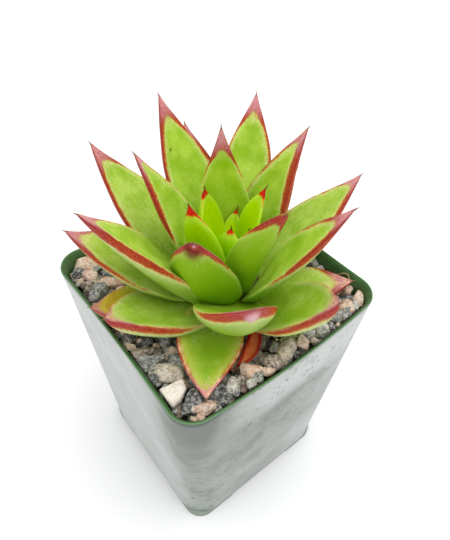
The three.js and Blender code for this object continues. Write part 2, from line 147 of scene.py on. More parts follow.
# The red margin of each leaf: the share of its length where it starts, its width on the upper face
# and on the underside at the tip end, and the length of the tip that is red all round. Then how
# old the leaf is, from 0 in the heart to 1 in the lowest ring, and how much pale bloom it has.
LEAF_LOOK = {
    "leaf_heart_0": (0.8, 0.2, 0.4, 1.5, 0, 0.0),
    "leaf_heart_1": (0.75, 0.2, 0.5, 2.2, 0, 0.0),
    "leaf_heart_2": (0.75, 0.2, 0.4, 2.6, 0, 0.0),
    "leaf_heart_3": (0.75, 0.3, 0.7, 4.2, 0.05, 0.0),
    "leaf_heart_4": (0.75, 0.3, 0.7, 3.6, 0.05, 0.0),
    "leaf_heart_5": (0.7, 0.3, 1.2, 5.0, 0.1, 0.0),
    "leaf_inner_1": (0.6, 0.5, 2.6, 7.0, 0.25, 0.1),
    "leaf_inner_2": (0.5, 0.9, 1.6, 10.5, 0.32, 0.15),
    "leaf_inner_3": (0.55, 0.7, 2.2, 3.4, 0.3, 0.05),
    "leaf_inner_4": (0.35, 1.5, 3.4, 5.0, 0.45, 0.35),
    "leaf_inner_5": (0.25, 2.6, 4.0, 8.0, 0.5, 0.25),
    "leaf_outer_1": (0.2, 1.2, 3.0, 11.0, 0.5, 0.25),
    "leaf_outer_2": (0.25, 1.1, 3.0, 10.0, 0.55, 0.3),
    "leaf_outer_3": (0.35, 1.4, 4.0, 10.0, 0.5, 0.25),
    "leaf_outer_4": (0.3, 1.4, 4.0, 7.0, 0.6, 0.55),
    "leaf_outer_5": (0.25, 0.9, 3.0, 9.0, 0.55, 0.55),
    "leaf_outer_6": (0.45, 0.5, 4.0, 5.0, 0.55, 0.2),
    "leaf_outer_7": (0.32, 0.7, 4.2, 7.0, 0.6, 0.35),
    "leaf_outer_8": (0.4, 1.2, 3.5, 12.0, 0.6, 0.3),
    "leaf_outer_9": (0.4, 1.2, 3.5, 10.0, 0.6, 0.3),
    "leaf_low_1": (0.3, 0.7, 3.4, 6.0, 0.8, 0.3),
    "leaf_low_2": (0.38, 0.7, 3.0, 7.0, 0.7, 0.6),
    "leaf_low_3": (0.3, 1.2, 3.0, 9.0, 0.85, 0.5),
    "leaf_low_4": (0.26, 1.7, 1.8, 4.6, 0.92, 0.3),
    "leaf_low_5": (0.3, 0.8, 3.6, 5.0, 0.85, 0.4),
    "leaf_low_6": (0.4, 0.5, 1.0, 4.0, 0.98, 0.2),
    "leaf_low_7": (0.35, 1.0, 3.2, 8.0, 0.85, 0.4),
    "leaf_low_8": (0.35, 1.1, 3.0, 8.0, 0.85, 0.4),
    "leaf_low_9": (0.3, 1.2, 3.0, 8.0, 0.95, 0.4),
    "leaf_low_10": (0.35, 1.1, 3.0, 8.0, 0.9, 0.4),
    "leaf_low_11": (0.35, 1.1, 3.0, 8.0, 0.8, 0.4),
    "leaf_low_12": (0.35, 1.1, 3.0, 8.0, 0.8, 0.4),
    "leaf_faded": (0.0, 9.0, 9.0, 27.0, 1, 0.1),
}
LOOK_COLUMNS = ("start", "top_band", "under_band", "tip_zone", "age", "bloom")

# Leaves whose margin is wider along one side than along the other, from -1 to 1.
MARGIN_LEAN = {
    "leaf_inner_5": -0.6, "leaf_outer_4": -0.5, "leaf_outer_1": 0.4, "leaf_outer_5": 0.4,
    "leaf_outer_2": -0.4, "leaf_inner_4": 0.8,
}

# Marks on single leaves: share of the length, place across from -1 to 1, face (1 is the upper one),
# radius in millimetres and strength. A positive strength is a brown scar, a negative one a bump with a
# painted highlight.
LEAF_MARKS = {
    "leaf_inner_3": [(0.95, -0.05, 0, 3.8, 1.1), (0.985, 0.15, 0, 1.1, -1.6)],
    "leaf_outer_6": [(0.95, 0.05, 0, 3.0, -0.95)],
    "leaf_outer_1": [(0.7, 0.55, 1, 0.9, 1.0)],
}
BUMP_HEIGHT = 0.5  # mm


def srgb(red, green, blue):
    """A display colour from 0 to 255 as the linear colour that the nodes take."""
    def linear(value):
        share = value / 255
        return share / 12.92 if share <= 0.04045 else ((share + 0.055) / 1.055) ** 2.4
    return linear(red), linear(green), linear(blue), 1.0


# ---------------------------------------------------------------- numbers and curves

def smooth_curve(knots, positions):
    """Reads a list of (position, value) knots along a smooth curve through them."""
    xs = np.array([knot[0] for knot in knots], float)
    ys = np.array([knot[1] for knot in knots], float)
    slopes = np.gradient(ys, xs)
    at = np.clip(positions, xs[0], xs[-1])
    left = np.clip(np.searchsorted(xs, at, side="right") - 1, 0, len(xs) - 2)
    width = xs[left + 1] - xs[left]
    t = (at - xs[left]) / width
    return ((2 * t**3 - 3 * t**2 + 1) * ys[left] + (t**3 - 2 * t**2 + t) * width * slopes[left]
            + (3 * t**2 - 2 * t**3) * ys[left + 1] + (t**3 - t**2) * width * slopes[left + 1])


def smoothstep(low, high, value):
    """0 below low, 1 above high, and a smooth rise between them. A fall, if high is the lower."""
    share = np.clip((value - low) / (high - low), 0, 1)
    return share * share * (3 - 2 * share)


def round_point(degrees, radius, centre=0.0):
    """A point on a circle whose middle has both its coordinates at centre."""
    angle = math.radians(degrees)
    return centre + radius * math.cos(angle), centre + radius * math.sin(angle)


# ---------------------------------------------------------------- meshes

def new_object(name, data):
    """An object in the scene with this mesh, curve, lamp or camera."""
    made = bpy.data.objects.new(name, data)
    bpy.context.scene.collection.objects.link(made)
    return made


def add_object(name, points, faces, material, attributes=None, slot=None, replaced=()):
    """A smooth-shaded piece from points in millimetres, with any point attributes."""
    mesh = bpy.data.meshes.new(name)
    mesh.from_pydata((np.asarray(points) * MM).tolist(), [], faces)
    for key, values in (attributes or {}).items():
        values = np.asarray(values, np.float32)
        kind, field = {1: ("FLOAT", "value"), 3: ("FLOAT_VECTOR", "vector"),
                       4: ("FLOAT_COLOR", "color")}[1 if values.ndim == 1 else values.shape[1]]
        mesh.attributes.new(key, kind, "POINT").data.foreach_set(field, values.ravel())
    mesh.materials.append(material)
    mesh.polygons.foreach_set("use_smooth", [True] * len(mesh.polygons))
    mesh.update()
    piece = new_object(name, mesh)
    if slot:
        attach(piece, "root")
        if replaced:
            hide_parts(*replaced)
    return piece


def ring_faces(ring_count, size, closed_loop=False):
    """Quads between rings of points, and a cap over each end unless the last ring meets the first."""
    faces = []
    last = ring_count if closed_loop else ring_count - 1
    for ring in range(last):
        here = ring * size
        there = ((ring + 1) % ring_count) * size
        for i in range(size):
            j = (i + 1) % size
            faces.append((here + i, here + j, there + j, there + i))
    if not closed_loop:
        faces.append(tuple(reversed(range(size))))
        faces.append(tuple(range(last * size, last * size + size)))
    return faces


def rounded_square(side, corner, z, bow_share=0.0):
    """Outline of a rounded square whose sides bulge by the pot's bows times bow_share."""
    flat = side / 2 - corner
    outline = []
    for quarter in range(4):
        turn = Matrix.Rotation(math.radians(90 * quarter), 2)
        bow = POT["bows"][quarter] * bow_share
        for i in range(SIDE_POINTS):
            along = -1 + 2 * i / SIDE_POINTS
            outline.append(turn @ Vector((side / 2 + bow * (1 - along**2), along * flat)))
        for i in range(CORNER_POINTS):
            outline.append(turn @ Vector(round_point(90 * i / CORNER_POINTS, corner, flat)))
    return np.array([(p.x, p.y, z) for p in outline])


def body_outline(z, inset):
    """Outline of the tapered body at one height, inset from the sleeve's outer face."""
    share = (z - SLEEVE["bottom"]) / (SLEEVE["top"] - SLEEVE["bottom"])
    side = SLEEVE["bottom_side"] + (SLEEVE["top_side"] - SLEEVE["bottom_side"]) * share
    corner = SLEEVE["bottom_corner"] + (SLEEVE["top_corner"] - SLEEVE["bottom_corner"]) * share
    return rounded_square(side - 2 * inset, corner - inset, z, share)


# ---------------------------------------------------------------- materials

class Shader:
    """A material and short ways to add nodes to it. Sockets and plain values mix freely."""

    def __init__(self, name):
        self.material = bpy.data.materials.new(name)
        self.material.use_nodes = True
        self.nodes = self.material.node_tree.nodes
        self.links = self.material.node_tree.links
        self.surface = self.nodes["Principled BSDF"]
        self.place = self.scaled(self.nodes.new("ShaderNodeTexCoord").outputs["Object"],
                                 (1 / MM,) * 3)

    def feed(self, socket, value):
        """Links a socket, or sets a plain value, on an input."""
        if isinstance(value, bpy.types.NodeSocket):
            self.links.new(value, socket)
        else:
            socket.default_value = value

    def set(self, **values):
        """Sets or links inputs of the surface shader: words are joined by underscores."""
        for name, value in values.items():
            self.feed(self.surface.inputs[name.replace("_", " ")], value)

    def node(self, kind, inputs, output=0, **settings):
        """Adds a node with its settings, feeds its inputs and gives back one of its outputs."""
        node = self.nodes.new("ShaderNode" + kind)
        for name, value in settings.items():
            setattr(node, name, value)
        for key, value in inputs.items():
            self.feed(node.inputs[key], value)
        return node.outputs[output]

    def attribute(self, name, output="Fac"):
        return self.node("Attribute", {}, output, attribute_name=name)

    def math(self, operation, a, b):
        return self.node("Math", {0: a, 1: b}, operation=operation)

    def add(self, a, b):
        return self.math("ADD", a, b)

    def minus(self, a, b):
        return self.math("SUBTRACT", a, b)

    def times(self, *factors):
        product = factors[0]
        for factor in factors[1:]:
            product = self.math("MULTIPLY", product, factor)
        return product

    def scaled(self, vector, scale):
        return self.node("VectorMath", {0: vector, 1: scale}, operation="MULTIPLY")

    def shifted(self, vector, shift):
        return self.node("VectorMath", {0: vector, 1: shift}, operation="ADD")

    def along(self, vector, axis):
        """One coordinate of a vector."""
        return self.node("SeparateXYZ", {0: vector}, axis)

    def ramp(self, value, low, high, to_low=0.0, to_high=1.0):
        """A smooth rise from to_low, where value is low, to to_high, where it is high."""
        return self.node("MapRange", {"Value": value, "From Min": low, "From Max": high,
                                      "To Min": to_low, "To Max": to_high},
                         interpolation_type="SMOOTHSTEP")

    def mix(self, share, a, b):
        return self.node("Mix", {0: share, 6: a, 7: b}, 2, data_type="RGBA")

    def between(self, value, low, high, first, second):
        """A colour that runs from the first display colour to the second as value rises."""
        return self.mix(self.ramp(value, low, high), srgb(*first), srgb(*second))

    def tint(self, base, colour, *shares):
        """The base with a display colour laid over it, as strongly as the shares' product."""
        return self.mix(self.times(*shares), base, srgb(*colour))

    def noise(self, size, detail=2.0, roughness=0.5, vector=None, distortion=0.0, output="Fac"):
        """Noise with features of about size millimetres, from 0 to 1."""
        return self.node("TexNoise", {"Vector": vector or self.place, "Scale": 1 / size,
                                      "Detail": detail, "Roughness": roughness,
                                      "Distortion": distortion}, output)

    def cells(self, size, vector=None, output="Distance"):
        return self.node("TexVoronoi", {"Vector": vector or self.place, "Scale": 1 / size}, output)

    def centred(self, value, reach):
        """Noise from 0 to 1 as a swing of half the reach to either side of 0."""
        return self.times(self.add(value, -0.5), reach)

    def bump(self, height, depth, strength=1.0, normal=None):
        """Relief where height 0 to 1 stands for depth millimetres."""
        inputs = {"Strength": strength, "Distance": depth * MM, "Height": height}
        if normal:
            inputs["Normal"] = normal
        return self.node("Bump", inputs)


def leaf_material():
    """Waxy yellow-green skin with a wine-red margin and tip, pale bloom, dry water marks and painted
    highlights on a few bumps.
    """
    s = Shader("leaf_skin")
    blush = s.attribute("blush")  # millimetres inside the red zone, negative outside it
    upper = s.attribute("upper")
    age = s.attribute("age")
    bloom = s.attribute("bloom")
    to_tip = s.attribute("to_tip")
    edge = s.attribute("edge")
    span = s.attribute("span")
    blade = s.attribute("blade", "Vector")
    grain = s.noise(0.4, 2, 0.6)
    speckle = s.noise(0.5, 1.5, 0.7)
    drift = s.noise(3.2, 2, 0.5)
    patches = s.noise(9, 3, 0.55)
    streaks = s.noise(1, 3, 0.6, vector=s.scaled(blade, (0.08, 1.1, 1)))
    oldest = s.ramp(age, 0.86, 0.91)

    # How far inside the red zone a place lies, once the zone's border is made ragged.
    ragged = s.add(s.ramp(age, 0.1, 0.5, 1.2, 3.8), s.ramp(age, 0.65, 0.8, 0.0, 3.0))
    wobble = s.add(s.centred(speckle, ragged), s.centred(drift, s.ramp(age, 0.0, 0.4, 0.5, 1.8)))
    depth = s.add(blush, wobble)

    # Green: yellower in young leaves, duller beneath, with a bloom of wax and pale crystals.
    grown = s.ramp(age, 0.1, 0.38)
    above = s.mix(grown, s.between(patches, 0.35, 0.7, (172, 212, 0), (186, 222, 0)),
                  s.between(patches, 0.35, 0.7, (132, 174, 0), (154, 192, 20)))
    beneath = s.mix(grown, s.between(streaks, 0.2, 0.8, (160, 204, 0), (170, 212, 0)),
                    s.between(streaks, 0.2, 0.8, (104, 148, 0), (116, 158, 4)))
    green = s.mix(upper, beneath, above)
    green = s.tint(green, (160, 204, 10), s.ramp(span, 0.3, 0.0, 0.0, 0.5))
    near_edge = s.times(s.ramp(edge, 2.6, 0.0), s.ramp(age, 0.0, 0.5, 0.1, 0.35))
    dusted = s.times(bloom, s.ramp(s.add(patches, s.times(streaks, 0.5)), 0.5, 1.0, 0.25, 1.0))
    green = s.tint(green, (200, 214, 118), s.math("MAXIMUM", near_edge, dusted))
    crystals = s.times(s.ramp(s.cells(0.75), 0.34, 0.2), s.ramp(s.add(patches, bloom), 0.5, 1.0),
                       s.ramp(s.add(upper, bloom), 0.2, 1.2))
    green = s.tint(green, (226, 234, 176), crystals, 0.35)
    green = s.tint(green, (100, 150, 0), s.ramp(grain, 0.5, 0.3), 0.3)
    green = s.tint(green, (104, 140, 20), oldest, 0.35)
    green = s.tint(green, (188, 204, 132), s.ramp(blush, -8.0, -1.5), s.ramp(upper, 1.0, 0.0),
                   s.ramp(span, 0.3, 0.7), s.ramp(bloom, 0.0, 0.4, 0.0, 0.7))
    green = s.tint(green, (186, 186, 40), s.ramp(edge, 7.0, 1.0), oldest, 0.5)
    frost = s.times(s.ramp(depth, s.ramp(age, 0.6, 0.8, -2.2, -3.0), 0.2),
                    s.ramp(age, 0.15, 0.6, 0.15, 0.65), s.ramp(age, 0.86, 0.91, 1.0, 0.45))
    skin = s.mix(frost, green, s.between(speckle, 0.4, 0.6, (190, 198, 86), (230, 216, 172)))

    # Red: scarlet in the heart and brick outside, freckled, and rosy or worn pale towards the tip.
    red = s.mix(s.ramp(age, 0.1, 0.3), s.between(age, 0.05, 0.3, (200, 26, 10), (152, 36, 16)),
                s.between(streaks, 0.2, 0.8, (134, 30, 12), (162, 54, 28)))
    red = s.tint(red, (204, 116, 58), s.ramp(speckle, 0.42, 0.6), s.ramp(blush, 2.4, 0.1, 0.35, 0.8),
                 s.ramp(age, 0.1, 0.35))
    red = s.tint(red, (150, 48, 52), s.ramp(to_tip, 14.0, 3.0), s.ramp(age, 0.1, 0.3, 0.0, 0.65))
    streaky = s.add(s.add(streaks, s.times(upper, 0.12)), s.centred(speckle, 0.5))
    red = s.tint(red, (214, 156, 160), s.ramp(to_tip, 12.0, 3.0), s.ramp(age, 0.1, 0.3, 0.0, 0.85),
                 s.ramp(streaky, 0.42, 0.68), s.ramp(upper, 0.0, 1.0, 0.15, 1.0))
    worn = s.ramp(s.add(streaks, s.centred(drift, 0.8)), 0.5, 0.66)
    red = s.tint(red, (232, 196, 160), worn, upper, s.ramp(age, 0.65, 0.8, 0.0, 0.75))
    skin = s.mix(s.ramp(depth, -0.25, 0.35), skin, red)
    sunburnt = s.times(s.ramp(to_tip, 24.0, 9.0), s.ramp(age, 0.93, 0.97),
                       s.ramp(depth, 0.2, -0.4), 0.65)
    skin = s.mix(sunburnt, skin, s.between(patches, 0.4, 0.6, (222, 186, 50), (214, 140, 60)))
    skin = s.tint(skin, (124, 34, 34), s.ramp(edge, 0.7, 0.25), s.ramp(blush, 0.2, 1.0), 0.6)
    needle = s.between(age, 0.1, 0.4, (78, 24, 24), (128, 84, 80))
    skin = s.mix(s.ramp(to_tip, 1.0, -0.2), skin, needle)

    # Scars, painted highlights on bumps, the rings of dried drops, and specks of dust.
    scar_and_highlight = s.add(s.attribute("scar_and_highlight"), s.centred(speckle, 0.4))
    skin = s.tint(skin, (96, 30, 22), s.ramp(scar_and_highlight, 0.15, 1.0), 0.85)
    # Painted highlight on the bumps, where the marks are below 0.
    skin = s.tint(skin, (208, 170, 180), s.ramp(scar_and_highlight, -0.2, -1.0), 0.9)
    drop = s.cells(7.5)
    ring = s.times(s.ramp(drop, 0.2, 0.24), s.ramp(drop, 0.3, 0.26), s.ramp(age, 0.75, 0.9))
    skin = s.tint(skin, (225, 232, 190), ring, s.ramp(patches, 0.5, 0.6), s.ramp(depth, -1.5, -3.0),
                  0.35)
    skin = s.tint(skin, (240, 240, 225), s.ramp(s.cells(3.1), 0.055, 0.035),
                  s.ramp(patches, 0.5, 0.62))

    dull = s.add(s.times(patches, 0.5), s.times(bloom, 0.4))
    s.set(Base_Color=skin, Roughness=s.ramp(dull, 0.1, 0.7, 0.34, 0.5), Specular_IOR_Level=0.07,
          Normal=s.bump(patches, 0.35, 0.5, s.bump(grain, 0.05, 0.5)), Subsurface_Weight=0.35,
          Subsurface_Scale=0.0025, Subsurface_Radius=(0.7, 1.0, 0.1))
    return s.material


def faded_leaf_material():
    """The withered leaf: thin and dry, orange inside and darker red towards its rim."""
    s = Shader("faded_leaf_skin")
    edge = s.attribute("edge")
    folds = s.noise(1, 3, 0.6, vector=s.scaled(s.attribute("blade", "Vector"), (0.12, 0.5, 1)))
    red = s.between(folds, 0.3, 0.7, (236, 88, 38), (250, 142, 84))
    inward = s.add(edge, s.centred(folds, 1.2))
    red = s.tint(red, (184, 28, 18), s.ramp(inward, 1.9, 0.9))
    red = s.tint(red, (214, 120, 100), s.ramp(edge, 0.5, 0.2))
    red = s.tint(red, (140, 24, 18), s.ramp(s.attribute("to_tip"), 2.5, 0.5))
    s.set(Base_Color=red, Roughness=0.5, Normal=s.bump(folds, 0.6, 0.8), Specular_IOR_Level=0.3,
          Subsurface_Weight=0.3, Subsurface_Scale=0.003)
    return s.material


def pot_material():
    """Green moulded plastic, with painted shade on the inner wall, a painted highlight on the lip, and
    pale grey-green feet that darken downwards in painted shadow.
    """
    s = Shader("pot_plastic")
    grain = s.noise(0.5, 2, 0.6)
    green = s.between(s.noise(14, 3, 0.5), 0.3, 0.7, (62, 96, 50), (76, 112, 62))
    # Painted highlight: the lip is paler green.
    green = s.tint(green, (80, 122, 76), s.attribute("lip"), 0.8)
    # Painted shade: the inner wall is darker green.
    green = s.tint(green, (46, 82, 44), s.attribute("inside"))
    # The feet and the lowest wall: pale grey-green, darkening towards the floor in painted shadow.
    foot_and_shadow = s.between(s.along(s.place, 2), 4.5, 0.5, (150, 162, 150), (92, 106, 94))
    green = s.mix(s.attribute("foot"), green, foot_and_shadow)
    green = s.tint(green, (126, 128, 100), s.ramp(s.noise(2.2, 3, 0.7), 0.55, 0.75), 0.25)
    s.set(Base_Color=green, Roughness=s.ramp(grain, 0.3, 0.7, 0.28, 0.42),
          Normal=s.bump(grain, 0.03, 0.4), Specular_IOR_Level=0.5)
    return s.material


def sleeve_material():
    """Satin film, marbled in pale greys, with dark flecks and a few oval rings, and painted shade and a
    painted reflection laid over it.
    """
    s = Shader("sleeve_film")
    wrap = s.attribute("wrap", "Vector")  # millimetres round the sleeve, and height
    flecked = s.attribute("flecked")
    cloud = s.noise(34, 3, 0.5, distortion=0.5)
    haze = s.noise(13, 2, 0.5)
    # The shade attribute lays painted shade and a painted reflection over the film's marbled greys.
    shade = s.add(s.attribute("shade"), s.centred(cloud, s.ramp(flecked, 0.1, 0.3, 0.1, 0.9)))
    film = s.mix(s.ramp(shade, 0.0, 1.2),
                 s.between(haze, 0.4, 0.7, (184, 187, 184), (178, 182, 178)),
                 s.between(haze, 0.4, 0.7, (126, 133, 127), (106, 114, 107)))
    # Painted shade: the darkest grey, high on the front corner.
    film = s.tint(film, (96, 103, 97), s.ramp(shade, 1.2, 1.9))

    # Both patterns lie in cells of the bent film. A cell's random colour says whether it is used.
    bend = s.scaled(s.noise(6, output="Color"), (1.6, 1.6, 0))
    bent = s.shifted(wrap, bend)
    dashes = s.scaled(bent, (1 / 3.2, 1 / 1.5, 1))
    pick = s.along(s.cells(1, vector=dashes, output="Color"), 0)
    chance = s.times(flecked, s.ramp(s.noise(12, 2, 0.5), 0.35, 0.6, 0.25, 1.0))
    size = s.ramp(s.minus(chance, pick), -0.05, 0.3, 0.0, 0.42)
    fleck = s.ramp(s.minus(s.cells(1, vector=dashes), size), 0.06, -0.08)
    film = s.tint(film, (66, 74, 68), fleck, s.ramp(size, 0.08, 0.16),
                  s.ramp(s.noise(0.8, 2, 0.6), 0.35, 0.6, 0.3, 1.0), 0.8)

    ovals = s.scaled(bent, (1 / 9.5, 1 / 7.5, 1))
    oval = s.cells(1, vector=ovals)
    pick = s.along(s.cells(1, vector=ovals, output="Color"), 1)
    film = s.tint(film, (82, 90, 84), s.ramp(oval, 0.17, 0.2), s.ramp(oval, 0.26, 0.22),
                  s.ramp(s.minus(flecked, pick), -0.1, 0.1),
                  s.ramp(s.noise(1.6, 2, 0.6), 0.4, 0.55), 0.7)
    s.set(Base_Color=film, Roughness=s.ramp(cloud, 0.3, 0.7, 0.34, 0.44), Specular_IOR_Level=0.4,
          Normal=s.bump(s.noise(26, 1, 0.4), 0.4, 0.3))
    return s.material


def stone_material():
    """Broken granite: every stone's own two colours, with pepper and salt grains."""
    s = Shader("stone")
    spot = s.shifted(s.place, s.attribute("shift", "Vector"))
    patch = s.noise(0.55, 3, 0.75, vector=spot)
    rough = s.noise(0.9, 4, 0.75, vector=spot)
    body = s.mix(s.ramp(s.noise(2.4, 3, 0.6, vector=spot), 0.35, 0.65),
                 s.attribute("first", "Color"), s.attribute("second", "Color"))
    grains = s.cells(0.9, vector=spot, output="Color")
    body = s.tint(body, (244, 240, 230), s.ramp(grains, 0.5, 0.7), 0.4)
    pepper = s.minus(s.attribute("pepper"), patch)
    body = s.tint(body, (44, 42, 40), s.ramp(pepper, -0.04, 0.04), 0.85)
    flipped = s.scaled(spot, (-1, 1, 1))
    salt = s.minus(s.attribute("salt"), s.noise(0.6, 2, 0.7, vector=flipped))
    body = s.tint(body, (244, 242, 236), s.ramp(salt, -0.03, 0.04), 0.75)
    chips = s.bump(s.cells(1.3, vector=spot), 0.6, 0.8)
    s.set(Base_Color=body, Roughness=s.ramp(rough, 0.3, 0.7, 0.45, 0.8), Specular_IOR_Level=0.45,
          Normal=s.bump(s.add(rough, s.times(patch, 0.8)), 0.6, 0.9, chips))
    return s.material


def crumb_material(name, dark, light, size):
    """Dull crumbly matter, such as soil, grit, bark or moss."""
    s = Shader(name)
    crumbs = s.noise(size, 4, 0.7)
    s.set(Base_Color=s.between(crumbs, 0.35, 0.65, dark, light), Roughness=0.95,
          Specular_IOR_Level=0.2, Normal=s.bump(crumbs, size * 0.3, 0.8))
    return s.material


def floor_material():
    """Pale studio floor, very slightly mottled."""
    s = Shader("studio_floor")
    s.set(Base_Color=s.mix(s.noise(400, 1), srgb(232, 232, 233), srgb(236, 236, 237)), Roughness=0.8,
          Specular_IOR_Level=0.1)
    return s.material


# ---------------------------------------------------------------- leaves

def leaf_frames(leaf, shares):
    """Points and unit vectors along, across and up at shares of a leaf's length."""
    azimuth = np.radians(leaf["azimuth"] + leaf["sweep"] * shares)
    rise = np.radians(leaf["rise_base"] + (leaf["rise_tip"] - leaf["rise_base"]) * shares)
    along = np.stack([np.cos(rise) * np.cos(azimuth), np.cos(rise) * np.sin(azimuth),
                      np.sin(rise)], axis=1)
    flat = np.stack([-np.sin(azimuth), np.cos(azimuth), np.zeros_like(azimuth)], axis=1)
    normal = np.cross(along, flat)
    roll = math.radians(leaf["roll"])
    across = flat * math.cos(roll) + normal * math.sin(roll)
    up = normal * math.cos(roll) - flat * math.sin(roll)
    return along, across, up


def leaf_midline(leaf, shares):
    """The midline's points, followed in small steps from the leaf's seat on the stem."""
    ends = np.linspace(0, 1, MIDLINE_STEPS + 1)
    along = leaf_frames(leaf, (ends[1:] + ends[:-1]) / 2)[0]
    walk = np.vstack([[0, 0, 0], np.cumsum(along * leaf["length"] / MIDLINE_STEPS, axis=0)])
    azimuth = math.radians(leaf["azimuth"])
    radius = np.interp(leaf["seat"], *zip(*STEM["radii"]))
    seat = np.array([STEM["x"] + radius * math.cos(azimuth), STEM["y"] + radius * math.sin(azimuth),
                     leaf["seat"]])
    return seat + np.stack([np.interp(shares, ends, walk[:, k]) for k in range(3)], axis=1)


def section_points():
    """Round a leaf's section: the place across from -1 to 1, and 1 on its upper face, 0 beneath."""
    top_angle = np.linspace(math.pi / 2, -math.pi / 2, LEAF["top_points"])
    under_angle = np.linspace(math.pi, 2 * math.pi, LEAF["under_points"] + 2)[1:-1]
    side = np.concatenate([np.sin(top_angle), np.cos(under_angle)])
    on_top = np.concatenate([np.ones(LEAF["top_points"]), np.zeros(LEAF["under_points"])])
    return side, on_top


def blade_points(name, leaf, shares, middle, vectors, section, random):
    """The blade's rings of points: cupped above, keeled beneath, and faintly uneven."""
    _, across, up = vectors
    side, on_top = section
    reach = np.abs(side)
    share = shares[:, None]
    shaped = share ** (math.log(LEAF["belly"]) / math.log(leaf["belly"]))
    half = leaf["half"] * smooth_curve(WIDTH_CURVE, shaped) ** BLUNT_LEAVES.get(name, 1)
    thickest = min(LEAF["thickness"] * leaf["half"], LEAF["thickest"])
    thick = thickest * smooth_curve(THICKNESS_CURVE, shaped)
    rim = np.minimum(LEAF["rim"], LEAF["rim_share"] * thick)
    cup = LEAF["cup"] * half * side**2

    # Both faces swell faintly in slow waves, by a fifth or a quarter of a millimetre.
    phases = random.uniform(0, 2 * math.pi, 4)
    distance = share * leaf["length"]
    groove = LEAF["channel"] * np.exp(-((side / LEAF["channel_width"]) ** 2))
    groove = groove * smoothstep(0, 0.3, share) * smoothstep(1, 0.7, share)
    rounding = rim * (1 - (1 - reach**9) ** (1 / 2.2))
    swell = 0.18 * np.sin(distance * 0.21 + phases[0]) * np.sin(side * half * 0.3 + phases[1])
    top = cup - rounding - groove + swell * (1 - reach**4)
    power = 2 + (LEAF["keel"] - 2) * share
    drop = (thick - rim) * np.sqrt(np.clip(1 - reach**power, 0, 1))
    swell = 0.25 * np.sin(distance * 0.17 + phases[2]) * np.sin(side * 3 + phases[3])
    under = cup - rim - drop + swell * (1 - reach**2)

    height = np.where(on_top > 0, top, under)
    wavy = 1 + 0.012 * np.sin(distance * 0.33 + phases[1])
    return (middle[:, None, :] + across[:, None, :] * (side * half * wavy)[:, :, None]
            + up[:, None, :] * height[:, :, None])


def leaf_scars_and_highlights(name, shares, section, points):
    """How strongly each point is marked: above 0 by a brown scar, below 0 by a bump with a painted
    highlight.
    """
    side, on_top = section
    scar_and_highlight = np.zeros(points.shape[:2])
    for share, place_across, face, radius, strength in LEAF_MARKS.get(name, ()):
        row = np.argmin(np.abs(shares - share))
        column = np.argmin(np.abs(side - place_across) + 9 * (on_top != face))
        away = np.linalg.norm(points - points[row, column], axis=2)
        scar_and_highlight += strength * np.exp(-((away / radius) ** 2))
    return scar_and_highlight


def rim_distance(points):
    """Millimetres from each point to the nearer rim, over the surface of its own face."""
    step = np.linalg.norm(np.roll(points, -1, axis=1) - points, axis=2)
    walked = np.pad(np.cumsum(step, axis=1)[:, :-1], ((0, 0), (1, 0)))
    whole = step.sum(axis=1, keepdims=True)
    other_rim = walked[:, [LEAF["top_points"] - 1]]
    return np.minimum.reduce([walked, whole - walked, np.abs(walked - other_rim)])


def red_depth(name, look, shares, section, edge, to_tip):
    """Millimetres that each point lies inside the red margin or the red tip, negative outside."""
    side, on_top = section
    start = look["start"]
    growth = smoothstep(start, min(start + 0.45, 0.99), shares)[:, None]
    band = np.where(on_top > 0, look["top_band"], look["under_band"]) * growth
    band = band * (1 + MARGIN_LEAN.get(name, 0) * side)
    onset = 3 * smoothstep(start + 0.06, start - 0.1, shares)[:, None]
    arch = look["tip_zone"] * (0.85 + 2.2 * min(look["age"], 0.5) * np.abs(side) ** 3)
    return np.maximum(band - edge - onset, (arch - to_tip) * 0.5)


def needle_rings(middle, vectors, section, random):
    """A few small rings past the end of the blade, which narrow to a point and bend a little."""
    along, across, up = (vector[-1] for vector in vectors)
    side, on_top = section
    high = np.sqrt(np.clip(1 - side**2, 0, 1)) * np.where(on_top > 0, 1, -1)
    outward = np.outer(side, across) + np.outer(high, up)
    bend = random.uniform(-0.25, 0.25)
    rings = []
    for share in NEEDLE_STATIONS:
        radius = LEAF["needle_radius"] * (1 - share) ** 0.8 + LEAF["needle_end"]
        below = LEAF["needle_low"] + LEAF["needle_drop"] * share**2
        centre = middle[-1] + along * LEAF["needle"] * share + across * bend * share**2 - up * below
        rings.append(centre + outward * radius)
    return np.array(rings)


